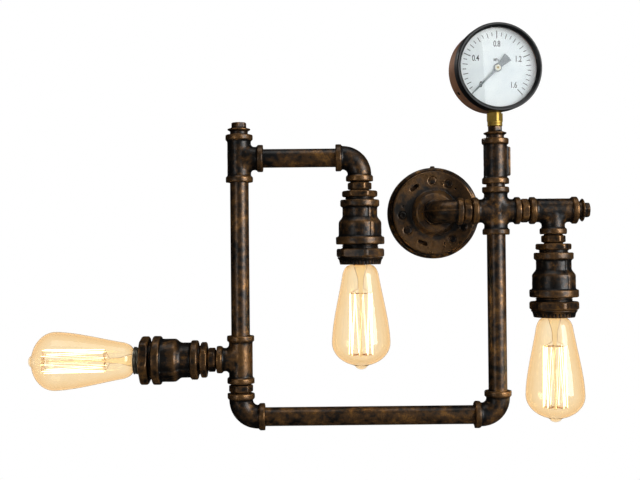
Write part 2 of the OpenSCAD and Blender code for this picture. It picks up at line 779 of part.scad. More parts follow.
// Insulating body of the lampholder: a cup with a seat flange and a wire hole in its floor
holder_sunk = 1;
lead_room = 2;
module lamp_holder(lamp) color(bakelite) at_lamp(lamp) difference() {
    front = mouth_face - holder_sunk;
    flange_r = mouth_bore_r + holder_flange;
    union() {
        translate([0, 0, holder_back]) cylinder(r = holder_r, h = front - holder_back);
        translate([0, 0, mouth_back - holder_flange_len]) cylinder(r = flange_r, h = holder_flange_len);
    }
    translate([0, 0, holder_floor]) cylinder(r = holder_in_r, h = front);
    translate([0, 0, holder_back - overcut]) cylinder(d = lead_od + lead_room, h = holder_floor);
}

// Screw shell of the lampholder, with a floor that is open round the contact
shell_floor_thick = 1;
shell_floor_hole_r = 8.1;
module lamp_shell(lamp) color(nickel) at_lamp(lamp) {
    tube(shell_r, shell_in_r, holder_floor, shell_end);
    tube(shell_in_r + overcut / 2, shell_floor_hole_r, holder_floor, holder_floor + shell_floor_thick);
}

// Sprung contact under each bulb's cap
spring_w = 3;
spring_thick = 0.8;
spring_gap = 0.3;
spring_foot_r = 6.8;
module holder_contacts() color(brass)
    for (lamp = [LEFT:RIGHT]) at_lamp(lamp) {
        foot_in_r = (lead_od + lead_room) / 2;
        top = contact_low - spring_gap;
        tongue = -spring_w / 2;
        riser_out = foot_in_r + 1.5 * spring_thick;
        tube(spring_foot_r, foot_in_r, holder_floor, holder_floor + spring_thick);
        translate([-spring_w / 2, foot_in_r, holder_floor])
            cube([spring_w, riser_out - foot_in_r, top - holder_floor]);
        translate([-spring_w / 2, tongue, top - spring_thick])
            cube([spring_w, riser_out - tongue, spring_thick]);
    }

// Ring with a notched skirt, screwed on the shell of the middle and right lamps
shade_flange_h = 2.2;
shade_flange_edge = 0.8;
shade_slope = 1.4;
shade_wall = 2.2;
shade_skin = 1.4;
notch_share = 0.45;
module shade_rings() color(bronze)
    for (lamp = [MIDDLE, RIGHT]) at_lamp(lamp) difference() {
        notch_w = PI * shade_lip_od / shade_notches * notch_share;
        lip_r = shade_lip_od / 2;
        lip_in_r = lip_r - shade_wall;
        foot_r = shade_flange_od / 2;
        skirt = mouth_face + shade_flange_h;
        hole_r = shell_r + thread_fit;
        lathe([[hole_r, mouth_face], [foot_r - shade_flange_edge, mouth_face],
               [foot_r, mouth_face + shade_flange_edge], [foot_r - shade_flange_edge, skirt],
               [lip_r + shade_slope, skirt + shade_flange_edge], [lip_r, bulb_mouth], [lip_in_r, bulb_mouth],
               [lip_in_r, skirt], [hole_r, skirt]]);
        for (k = [0:shade_notches - 1]) rotate(360 * k / shade_notches)
            translate([lip_in_r + shade_skin, -notch_w / 2, skirt + shade_slope])
                cube([shade_wall + shade_slope, notch_w, shade_h]);
    }

// Bulb: pear-shaped glass with a pip at its tip, drawn from the mouth of the socket
pip_len = 4;
pip_r = 7.8;
bulb_neck_r = cap_r - 1.1;
neck_in_cap = 3.5;
waist = [20.4, 11];
neck_handle = [4.5, 0.4];
waist_handle_low = [1.6, 5.5];
waist_handle_high = [4, 24.6];
belly_handle = [0.4, 23.8];

// Outline of the glass, moved in by a wall
function bulb_outline(inset) = let (
    r = bulb_od / 2 - inset,
    dome = bulb_len - pip_len - bulb_belly,
    low = [bulb_neck_r - inset, 0.6],
    mid = [waist[0] - inset, waist[1]],
    belly = [r, bulb_belly],
    pip_angle = acos(pip_r / r))
    concat(
        [[bulb_neck_r - inset, -neck_in_cap]],
        [for (k = [0:5]) curve(low, low + neck_handle, mid - waist_handle_low, mid, k / 5)],
        [for (k = [1:10]) curve(mid, mid + waist_handle_high, belly - belly_handle, belly, k / 10)],
        [for (k = [1:9]) let (t = pip_angle * k / 9) [r * cos(t), bulb_belly + (dome - inset) * sin(t)]]);

module lamp_glass(lamp) color(amber_glass, 0.5) at_lamp(lamp) translate([0, 0, bulb_mouth]) {
    outside = bulb_outline(0);
    dome_end = outside[len(outside) - 1][1];
    pip_h = bulb_len - dome_end;
    difference() {
        lathe(concat([[0, -neck_in_cap]], outside,
            [for (k = [1:4]) let (t = 90 * k / 4) [pip_r * cos(t), dome_end + pip_h * sin(t)]]));
        lathe(concat([[0, -neck_in_cap - overcut], [bulb_neck_r - bulb_wall, -neck_in_cap - overcut]],
            bulb_outline(bulb_wall), [[0, dome_end - bulb_wall]]));
    }
}

// Screw cap with its closed end and contact
cap_wall = 0.7;
cap_floor_h = 4;
cap_taper = 3;
cap_rim_gap = 0.4;
contact_r = 4.8;
contact_edge = 0.7;
insulator_r = 9.2;
module lamp_cap(lamp) color(brass) at_lamp(lamp) {
    rim = bulb_mouth - cap_rim_gap;
    in_r = cap_r - cap_wall;
    floor_top = cap_low + cap_floor_h;
    lathe([[0, contact_low], [contact_r - contact_edge, contact_low], [contact_r, contact_low + contact_edge],
           [insulator_r, cap_low], [cap_r, cap_low + cap_taper], [cap_r, rim - cap_wall],
           [cap_r - cap_wall / 2, rim], [in_r, rim], [in_r, floor_top], [0, floor_top]]);
}

// Glass stem with its spiders and the cage of filament strands, fixed to the cap
cage_low = 32;
cage_len = 70;
cage_high = cage_low + cage_len;
cage_low_r = 12.5;
cage_high_r = 13.5;
stem_r = 3.2;
stem_flare_r = 4.7;
stem_flare_h = 8;
stem_rod_r = 1.1;
stem_bead_r = 2.2;
stem_bead_h = 2.5;
module lamp_filament(lamp) color(glow) at_lamp(lamp) translate([0, 0, bulb_mouth]) {
    foot = cap_floor_h - cap_len;
    wire_r = filament_d * 0.4;
    spoke_low = stem_bead_r - wire_r;
    flare_r = bulb_neck_r - bulb_wall - thread_fit * 3;
    bead = stem_bead_h;
    lathe([[0, foot], [stem_bead_r, foot], [stem_bead_r, -neck_in_cap - 1], [flare_r, -neck_in_cap],
           [flare_r, -neck_in_cap + 1], [stem_flare_r, stem_flare_h], [stem_r, 2 * stem_flare_h],
           [stem_bead_r, cage_low - bead], [stem_bead_r, cage_low + bead],
           [stem_rod_r, cage_low + 2 * bead], [stem_rod_r, cage_high - 2 * bead],
           [stem_bead_r, cage_high - bead], [stem_bead_r, cage_high + bead / 2], [0, cage_high + bead]]);
    for (k = [0:filament_strands - 1]) rotate(360 * k / filament_strands) {
        lean = atan2(cage_high_r - cage_low_r, cage_len);
        translate([cage_low_r, 0, cage_low - filament_d]) rotate([0, lean, 0])
            cylinder(d = filament_d, h = (cage_len + filament_d) / cos(lean));
        for (level = [[cage_low, cage_low_r], [cage_high - filament_d, cage_high_r]])
            translate([spoke_low, 0, level[0]]) rotate([0, 90, 0])
                cylinder(r = wire_r, h = level[1] - spoke_low);
    }
}

// Lead wires from the terminal block through the pipes to the lampholders
lead_od = 3.6;
lead_pitch = 4.2;
lead_tee_bend = 12;
lead_lift = 0.4;
lead_sides = 8;

// Points of a route with its corners rounded, each by its own bend
function corner(a, b, c, r) = let (p = b + unit(a - b) * r, q = b + unit(c - b) * r)
    [for (k = [0:5]) let (t = k / 5) (1 - t) * (1 - t) * p + 2 * t * (1 - t) * b + t * t * q];
function route(points, bends) = let (last = len(points) - 1) concat(
    [points[0]],
    [for (k = [1:last - 1]) each corner(points[k - 1], points[k], points[k + 1], bends[k - 1])],
    [points[last]]);
function tangents(path) = let (last = len(path) - 1)
    [for (k = [0:last]) unit(path[min(k + 1, last)] - path[max(k - 1, 0)])];

// Side directions along a route, each turned as little as possible from the one before
function sides(ways, done) = len(done) == len(ways) ? done :
    let (way = ways[len(done)], old = done[len(done) - 1])
    sides(ways, concat(done, [unit(old - (old * way) * way)]));

module lead(points, bends) {
    path = route(points, bends);
    ways = tangents(path);
    side = sides(ways, [[0, 0, 1]]);
    n = lead_sides;
    last = len(path) - 1;
    rings = [for (k = [0:last], j = [0:n - 1])
        let (other = cross(ways[k], side[k]), a = 360 * j / n)
        path[k] + lead_od / 2 * (cos(a) * side[k] + sin(a) * other)];
    walls = [for (k = [0:last - 1], j = [0:n - 1]) let (i = (j + 1) % n)
        each [[k * n + j, (k + 1) * n + j, (k + 1) * n + i], [k * n + j, (k + 1) * n + i, k * n + i]]];
    ends = [for (j = [1:n - 2]) each [[0, j, j + 1], [last * n, last * n + j + 1, last * n + j]]];
    polyhedron(rings, concat(walls, ends));
}

module lamp_leads() color(lead_red) {
    wall_y = -bracket_thick - lead_od / 2 - lead_lift;
    half = lead_pitch / 2;
    high = lead_pitch;
    tee = lead_tee_bend;
    elbow = elbow_bend;
    column_r = cross_x + half;
    column_l = cross_x - half;
    side_l = left_x - half;
    side_r = left_x + half;
    lead([[terminal_x, wall_y, high], [0, wall_y, high], [0, pipe_y, high], [right_x, pipe_y, high],
          [right_x, pipe_y, -reach - holder_floor]],
         [tee, elbow, tee]);
    lead([[terminal_x, wall_y, 0], [0, wall_y, 0], [0, pipe_y, 0], [column_r, pipe_y, 0],
          [column_r, pipe_y, bottom_z - half], [side_l, pipe_y, bottom_z - half],
          [side_l, pipe_y, left_tee_z], [left_x - reach - holder_floor, pipe_y, left_tee_z]],
         [tee, elbow, tee, elbow, elbow, tee]);
    lead([[terminal_x, wall_y, -high], [0, wall_y, -high], [0, pipe_y, -high], [column_l, pipe_y, -high],
          [column_l, pipe_y, bottom_z + half], [side_r, pipe_y, bottom_z + half],
          [side_r, pipe_y, top_z], [arm_x, pipe_y, top_z], [arm_x, pipe_y, top_z - reach - holder_floor]],
         [tee, elbow, tee, elbow, elbow, tee, elbow]);
}

// Gauge: places from the middle of the dial, with Z of its own frame out of the dial
gauge_r = gauge_od / 2;
bezel_skirt = 1.4;
case_r = gauge_r - bezel_skirt;
case_in_r = case_r - case_wall;
window_low = 13;
window_thick = 2.5;
window_high = window_low + window_thick;
case_back = window_low - case_depth;
dial_thick = 0.8;
dial_gap = 5;
dial_low = window_low - dial_gap;
plate_thick = 1.4;
works_depth = 15;
back_plate_low = dial_low - works_depth;
front_plate_low = dial_low - plate_thick;
block_low = back_plate_low + plate_thick;
pointer_gap = 1.4;
pointer_low = dial_low + dial_thick + pointer_gap;
socket_top_z = gauge_socket_z + gauge_socket_len / 2;
bush_top_z = socket_top_z + plug_neck + plug_bead_h + plug_head_h;
stem_gap = 0.3;
gauge_z = bush_top_z + stem_collar_h + stem_square_h + gauge_r + stem_gap;
module at_gauge() at_pipe(cross_x, gauge_z) rotate(gauge_turn) from_wall() children();

// Bored plug that takes the gauge's stem
module gauge_bush() color(bronze) at_pipe(cross_x, socket_top_z) difference() {
    plug_body();
    bush_len = thread_engage + plug_neck + plug_bead_h + plug_head_h;
    translate([0, 0, -thread_engage - overcut])
        cylinder(r = stem_thread_d / 2 + thread_fit, h = bush_len + 2 * overcut);
}

// Brass stem: thread, collar, square and the block inside the case that carries the movement
block_w = 20;
block_top = -29;
block_clear = 1;
stem_neck_r = stem_square / 2 - 0.3;
stem_thread_len = 12;
stem_bore_r = 2;
collar_edge = 0.4;
groove_low = 2.4;
groove_depth = 0.5;
module gauge_stem() color(brass) at_gauge() {
    bottom = -gauge_r - stem_gap;
    square_low = bottom - stem_square_h;
    collar_low = square_low - stem_collar_h;
    foot = collar_low - stem_thread_len;
    collar_r = stem_collar_d / 2;
    groove = collar_low + groove_low;
    block_bottom = -sqrt(pow(case_in_r - block_clear, 2) - pow(block_w / 2, 2));
    difference() {
        rotate([-90, 0, 0]) union() {
            lathe([[0, foot], [stem_thread_d / 2, foot], [stem_thread_d / 2, collar_low],
                   [collar_r - collar_edge, collar_low], [collar_r, collar_low + collar_edge],
                   [collar_r, groove], [collar_r - groove_depth, groove + collar_edge],
                   [collar_r, groove + 2 * collar_edge], [collar_r, square_low], [0, square_low]]);
            rotate(stem_turn) intersection() {
                translate([-stem_square / 2, -stem_square / 2, square_low])
                    cube([stem_square, stem_square, stem_square_h]);
                across = stem_square * sqrt(2) - stem_chamfer;
                rotate(45) translate([-across / 2, -across / 2, square_low])
                    cube([across, across, stem_square_h]);
            }
            translate([0, 0, bottom - overcut])
                cylinder(r = stem_neck_r, h = block_bottom - bottom + 2 * overcut);
        }
        rotate([-90, 0, 0]) translate([0, 0, foot - overcut])
            cylinder(r = stem_bore_r, h = stem_thread_len + stem_collar_h + stem_square_h);
    }
    translate([-block_w / 2, block_bottom, block_low])
        cube([block_w, block_top - block_bottom, front_plate_low - block_low]);
}

// Drawn cup of the gauge, open to the front, with a hole for the stem
case_edge = 4;
module gauge_case() color(bronze) at_gauge() difference() {
    edge = case_edge;
    lathe(concat(
        [[0, case_back]], arc(case_r - edge, case_back + edge, edge, -90, 0, 5),
        [[case_r, window_low], [case_in_r, window_low]],
        arc(case_r - edge, case_back + edge, edge - case_wall, 0, -90, 5),
        [[0, case_back + case_wall]]));
    rotate([90, 0, 0]) cylinder(r = stem_neck_r + thread_fit, h = case_r + overcut);
}

// Rounded black ring that holds the window to the case
bezel_round = 3;
bezel_lip = 0.8;
skirt_len = 5;
module gauge_bezel() color(black_enamel) at_gauge() {
    front = window_high + bezel_front;
    skirt = window_low - skirt_len;
    inner = gauge_r - bezel_w;
    step = gauge_r - bezel_round - bezel_lip / 2;
    lathe(concat(
        [[case_r + thread_fit, skirt], [gauge_r, skirt]],
        arc(gauge_r - bezel_round, front - bezel_round, bezel_round, 0, 90, 5),
        [[step, front - bezel_lip]],
        arc(inner + bezel_lip, front - 2 * bezel_lip, bezel_lip, 90, 180, 3),
        [[inner, window_high], [case_r + thread_fit, window_high]]));
}

module gauge_window() color(clear_glass, 0.35) at_gauge()
    translate([0, 0, window_low]) cylinder(r = case_r - 2 * thread_fit, h = window_thick);

dial_fit = 0.3;
dial_hole_r = 2.4;
module gauge_dial() color(dial_white) at_gauge()
    tube(case_in_r - dial_fit, dial_hole_r, dial_low, dial_low + dial_thick);

// Pointer at the first mark, low on the left: tapered needle, hub and fan-shaped tail
arbor_r = 1.2;
pivot_fit = 0.06;
zero_angle = 90 + dial_sweep / 2;
needle_len = gauge_r - bezel_w - 3.5;
needle_root = 1.6;
needle_end = 0.6;
needle_tip_len = 2.8;
fan_len = 18;
fan_angle = 17;
pointer_thick = 0.8;
pointer_hub_r = 4.6;
pointer_hub_h = 1.8;
module gauge_pointer() color(black_enamel) at_gauge() rotate(zero_angle) {
    tip = needle_len - needle_tip_len;
    needle = [[0, -needle_root], [tip, -needle_end], [needle_len, 0], [tip, needle_end], [0, needle_root]];
    hub_low = pointer_low - (pointer_hub_h - pointer_thick) / 2;
    difference() {
        union() {
            translate([0, 0, pointer_low]) linear_extrude(pointer_thick)
                polygon(concat(needle, arc(0, 0, fan_len, 180 - fan_angle, 180 + fan_angle, 6)));
            translate([0, 0, hub_low]) cylinder(r = pointer_hub_r, h = pointer_hub_h);
        }
        translate([0, 0, hub_low - overcut])
            cylinder(r = arbor_r + pivot_fit / 2, h = pointer_hub_h + 2 * overcut);
    }
}

// Involute teeth: half the width of a tooth, as an angle, at radius r of a gear of pitch radius p
pressure = 25;
backlash = 0.14;
tooth_out = 0.8 * gear_module;
tooth_in = 1.05 * gear_module;
function involute(a) = tan(a) * 180 / PI - a;
function half_tooth(p, r) = let (base = p * cos(pressure), a = acos(base / max(r, base)))
    (PI * gear_module / 2 - backlash) / (2 * p) * 180 / PI + involute(pressure) - involute(a);
function polar(r, a) = [r * cos(a), r * sin(a)];
function tooth(p, middle) = let (root = p - tooth_in, height = tooth_in + tooth_out, steps = 5) concat(
    [for (k = [0:steps]) let (r = root + height * k / steps) polar(r, middle - half_tooth(p, r))],
    [for (k = [steps:-1:0]) let (r = root + height * k / steps) polar(r, middle + half_tooth(p, r))]);

pinion_r = gear_module * pinion_teeth / 2;
sector_teeth = pinion_teeth * gear_ratio;
sector_r = gear_module * sector_teeth / 2;
sector_way = 120;
sector_at = -polar(pinion_r + sector_r, sector_way);
sector_travel = dial_sweep / gear_ratio;

// Pinion cut on the arbor that carries the pointer
pinion_w = 4;
arbor_end = 1.2;
module gauge_pinion() color(brass) at_gauge() {
    pitch = 360 / pinion_teeth;
    first = sector_way + 180 + pitch / 2;
    translate([0, 0, -pinion_w / 2]) linear_extrude(pinion_w)
        polygon([for (k = [0:pinion_teeth - 1]) each tooth(pinion_r, first + pitch * k)]);
    translate([0, 0, back_plate_low]) cylinder(r = arbor_r, h = pointer_low + arbor_end - back_plate_low);
}

// Toothed sector on its own arbor, with a tail that the link pulls
sector_thick = 1.5;
sector_rim_w = 4;
sector_arm_w = 2.4;
sector_hub_r = 4;
tail_len = 10;
tail_way = -10;
tail_w = 3.6;
tail_eye_r = 2.4;
tail_pin_r = 0.8;
module gauge_sector() color(brass) at_gauge() translate(sector_at) {
    pitch = 360 / sector_teeth;
    first = sector_way + pitch;
    count = ceil(sector_travel / pitch) + 3;
    last = first - pitch * (count - 1);
    rim_r = sector_r - sector_rim_w;
    rim_points = 8;
    rim_step = (first - last + pitch) / rim_points;
    eye = polar(tail_len, tail_way);
    difference() {
        union() {
            translate([0, 0, -sector_thick / 2]) linear_extrude(sector_thick) {
                polygon(concat(
                    [for (k = [0:count - 1]) each tooth(sector_r, last + pitch * k)],
                    [for (k = [rim_points:-1:0]) polar(rim_r, last - pitch / 2 + rim_step * k)]));
                for (way = [first, last]) rotate(way) translate([0, -sector_arm_w / 2])
                    square([rim_r + overcut, sector_arm_w]);
                circle(r = sector_hub_r);
                rotate(tail_way) translate([0, -tail_w / 2]) square([tail_len, tail_w]);
                translate(eye) circle(r = tail_eye_r);
            }
            translate([0, 0, back_plate_low]) cylinder(r = arbor_r, h = dial_low - back_plate_low);
        }
        translate([each eye, -sector_thick]) cylinder(r = tail_pin_r + pivot_fit, h = 2 * sector_thick);
    }
}

// Flat bar from the sector's tail to the lug on the free end of the Bourdon tube
tube_r = case_in_r - 10;
tube_thick = 3;
tube_w = 9;
tube_wall = 0.5;
tip_angle = 15;
tip_closed = 2;
lug_angle = tip_angle + 3;
lug_w = 5;
lug_thick = 1.2;
lug_len = 7;
lug_root = 0.3;
lug_pin_in = 4.5;
link_gap = 0.3;
link_thick = 0.8;
link_w = 2.4;
link_eye_r = 2.2;
link_hole_r = 0.9;
link_high = -sector_thick / 2 - link_gap;
link_from = sector_at + polar(tail_len, tail_way);
link_to = polar(tube_r - tube_thick / 2 - lug_pin_in, lug_angle);
module gauge_link() color(brass) at_gauge() {
    span = link_to - link_from;
    low = link_high - link_thick;
    difference() {
        translate([0, 0, low]) linear_extrude(link_thick) {
            for (end = [link_from, link_to]) translate(end) circle(r = link_eye_r);
            translate(link_from) rotate(atan2(span[1], span[0])) translate([0, -link_w / 2])
                square([norm(span), link_w]);
        }
        translate([each link_to, low - overcut]) cylinder(r = link_hole_r, h = link_thick + 2 * overcut);
    }
    translate([each link_from, low]) cylinder(r = tail_pin_r, h = link_thick + link_gap + sector_thick);
}

// Two plates on pillars that carry the arbors, clamped on the stem's block
plate_r = 8.5;
plate_boss_r = 6.5;
plate_arm_w = 12;
plate_foot_w = 14;
plate_foot_low = block_top - 12;
pillar_r = 1.7;
pillars = [[-4, 5], [-4.5, block_top + 4]];
module gauge_movement() color(brass) at_gauge() {
    for (low = [back_plate_low, front_plate_low]) translate([0, 0, low]) linear_extrude(plate_thick)
        difference() {
            union() {
                circle(r = plate_r);
                translate(sector_at) circle(r = plate_boss_r);
                rotate(sector_way + 180) translate([0, -plate_arm_w / 2])
                    square([norm(sector_at), plate_arm_w]);
                translate([-plate_foot_w / 2, plate_foot_low]) square([plate_foot_w, -plate_foot_low]);
            }
            circle(r = arbor_r + pivot_fit);
            translate(sector_at) circle(r = arbor_r + pivot_fit);
        }
    for (at = pillars) translate([each at, block_low])
        cylinder(r = pillar_r, h = front_plate_low - block_low);
}

// Flattened C-shaped tube from the block round to its free end, where the link's lug is
module bourdon_tube() color(brass) at_gauge() {
    in_r = tube_r - tube_thick / 2;
    root_angle = -90 - asin((block_w / 2 + thread_fit) / in_r);
    sweep = 360 + root_angle - tip_angle;
    lug_high = link_high - link_thick - link_gap;
    difference() {
        rotate(tip_angle) rotate_extrude(angle = sweep) translate([tube_r, 0]) oval(tube_thick, tube_w);
        rotate(tip_angle + tip_closed) rotate_extrude(angle = sweep) translate([tube_r, 0])
            oval(tube_thick - 2 * tube_wall, tube_w - 2 * tube_wall);
    }
    rotate(lug_angle) translate([in_r - lug_len, -lug_w / 2, lug_high - lug_thick])
        cube([lug_len + lug_root, lug_w, lug_thick]);
}

module oval(thick, width) {
    square([thick, width - thick], center = true);
    for (end = [-1, 1]) translate([0, end * (width - thick) / 2]) circle(d = thick);
}

wall_bracket();
canopy();
side_screw();
terminal_block();
lamp_leads();
flange();
flange_screws();
flange_rivets();
wall_nipple();
lock_nut();
wall_elbow();
cross();
right_tee();
column_pipe();
lower_right_elbow();
bottom_pipe();
lower_left_elbow();
left_tee();
left_pipe();
top_tee();
arm_pipe();
arm_elbow();
gauge_nipple();
gauge_socket();
gauge_bush();
pipe_plugs();
hex_nipples();
reducing_bushes();
mouth_bushes();
shade_rings();
lamp_reducer(LEFT);  // left_reducer
lamp_reducer(MIDDLE);  // middle_reducer
lamp_reducer(RIGHT);  // right_reducer
lamp_holder(LEFT);  // left_holder
lamp_holder(MIDDLE);  // middle_holder
lamp_holder(RIGHT);  // right_holder
lamp_shell(LEFT);  // left_shell
lamp_shell(MIDDLE);  // middle_shell
lamp_shell(RIGHT);  // right_shell
holder_contacts();
lamp_glass(LEFT);  // left_glass
lamp_glass(MIDDLE);  // middle_glass
lamp_glass(RIGHT);  // right_glass
lamp_cap(LEFT);  // left_cap
lamp_cap(MIDDLE);  // middle_cap
lamp_cap(RIGHT);  // right_cap
lamp_filament(LEFT);  // left_filament
lamp_filament(MIDDLE);  // middle_filament
lamp_filament(RIGHT);  // right_filament
gauge_stem();
gauge_case();
gauge_bezel();
gauge_window();
gauge_dial();
gauge_pointer();
gauge_pinion();
gauge_sector();
gauge_link();
gauge_movement();
bourdon_tube();
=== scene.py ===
from math import atan2, cos, hypot, pi, radians, sin, tau

import bpy
import numpy as np
from mathutils import Matrix, Vector


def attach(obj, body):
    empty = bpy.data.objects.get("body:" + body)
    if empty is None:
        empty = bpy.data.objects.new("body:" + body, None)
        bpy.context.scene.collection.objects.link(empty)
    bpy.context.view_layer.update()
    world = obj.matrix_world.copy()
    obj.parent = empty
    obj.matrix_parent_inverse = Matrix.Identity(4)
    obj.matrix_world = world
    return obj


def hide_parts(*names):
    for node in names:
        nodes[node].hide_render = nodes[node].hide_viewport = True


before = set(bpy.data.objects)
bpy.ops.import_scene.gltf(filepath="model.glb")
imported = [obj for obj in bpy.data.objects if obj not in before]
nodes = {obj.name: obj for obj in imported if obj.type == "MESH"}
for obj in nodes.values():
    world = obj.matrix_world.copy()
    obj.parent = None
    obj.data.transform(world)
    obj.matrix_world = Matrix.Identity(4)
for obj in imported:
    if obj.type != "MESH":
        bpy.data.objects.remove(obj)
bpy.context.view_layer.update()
mm = 0.001


# Wall bracket, lock nut, terminal block and leads: zinc plated steel strip screwed to the wall,
# a moulded nylon block on it and silicone covered leads. They lie behind the canopy.
def add(tree, kind, inputs=None, **settings):
    made = tree.nodes.new("ShaderNode" + kind)
    for key, value in settings.items():
        setattr(made, key, value)
    for key, value in (inputs or {}).items():
        if isinstance(value, bpy.types.NodeSocket):
            tree.links.new(value, made.inputs[key])
        else:
            made.inputs[key].default_value = value
    return made


def sums(tree, operation, a, b):
    return add(tree, "Math", {0: a, 1: b}, operation=operation, use_clamp=False).outputs[0]


def blend(tree, share, a, b):
    return add(tree, "Mix", {0: share, 6: a, 7: b}, data_type="RGBA").outputs[2]


def tint(red, green, blue):
    """Linear colour from 0-255 values as a screen shows them."""
    shares = [c / 255 for c in (red, green, blue)]
    return (*[c / 12.92 if c < 0.0404 else ((c + 0.055) / 1.055) ** 2.4 for c in shares], 1)


def make_speckle():
    """Node group: two tones mottled over the surface, with a matching roughness and height."""
    group = bpy.data.node_groups.new("speckle", "ShaderNodeTree")
    for name, kind in (("Light", "Color"), ("Dark", "Color"), ("Size", "Float"), ("Gloss", "Float")):
        group.interface.new_socket(name, in_out="INPUT", socket_type="NodeSocket" + kind)
    for name, kind in (("Color", "Color"), ("Roughness", "Float"), ("Height", "Float")):
        group.interface.new_socket(name, in_out="OUTPUT", socket_type="NodeSocket" + kind)
    ends = group.nodes.new("NodeGroupInput").outputs
    place = add(group, "TexCoord").outputs["Object"]
    coarse_scale = sums(group, "DIVIDE", 0.35, ends["Size"])
    fine_scale = sums(group, "DIVIDE", 2.6, ends["Size"])
    coarse = add(group, "TexNoise", {"Vector": place, "Scale": coarse_scale, "Detail": 4}).outputs["Fac"]
    fine = add(group, "TexNoise", {"Vector": place, "Scale": fine_scale, "Detail": 3}).outputs["Fac"]
    both = sums(group, "ADD", sums(group, "MULTIPLY", coarse, 0.6), sums(group, "MULTIPLY", fine, 0.4))
    share = add(group, "MapRange", {"Value": both, "From Min": 0.36, "From Max": 0.64}).outputs[0]
    out = group.nodes.new("NodeGroupOutput").inputs
    group.links.new(blend(group, share, ends["Dark"], ends["Light"]), out["Color"])
    dulled = sums(group, "MULTIPLY", sums(group, "SUBTRACT", 0.5, both), 0.3)
    rough = sums(group, "ADD", ends["Gloss"], dulled)
    group.links.new(rough, out["Roughness"])
    group.links.new(fine, out["Height"])
    return group


speckle = make_speckle()


def mottled(name, light, dark, size, gloss):
    """New material coloured by the speckle group: tones as 0-255 colours, size of the mottling in metres."""
    material = bpy.data.materials.new(name)
    material.use_nodes = True
    tree = material.node_tree
    shader = tree.nodes["Principled BSDF"]
    mottle = add(tree, "Group", node_tree=speckle)
    mottle.inputs["Light"].default_value = tint(*light)
    mottle.inputs["Dark"].default_value = tint(*dark)
    mottle.inputs["Size"].default_value = size
    mottle.inputs["Gloss"].default_value = gloss
    tree.links.new(mottle.outputs["Color"], shader.inputs["Base Color"])
    return material, tree, shader, mottle.outputs


def speckled(name, light, dark, size, gloss, metallic=0.0, bump=0.05, coat=0.0):
    """Opaque mottled material, uneven in gloss and height as in tone."""
    material, tree, shader, mottle = mottled(name, light, dark, size, gloss)
    relief = add(tree, "Bump", {"Height": mottle["Height"], "Strength": bump, "Distance": 0.0004})
    tree.links.new(mottle["Roughness"], shader.inputs["Roughness"])
    tree.links.new(relief.outputs["Normal"], shader.inputs["Normal"])
    shader.inputs["Metallic"].default_value = metallic
    shader.inputs["Coat Weight"].default_value = coat
    return material


def dress(piece, material):
    piece.data.materials.clear()
    piece.data.materials.append(material)


def dress_node(name, material):
    for place in nodes[name].material_slots:
        place.material = material


zinc = speckled("zinc", (196, 197, 192), (142, 144, 142), 0.006, 0.42, metallic=0.9)
nylon = speckled("nylon", (232, 229, 219), (214, 210, 198), 0.004, 0.5)
silicone = speckled("lead_cover", (126, 48, 38), (98, 34, 28), 0.003, 0.55)
dress_node("wall_bracket", zinc)
dress_node("lock_nut", zinc)
dress_node("terminal_block", nylon)
dress_node("lamp_leads", silicone)


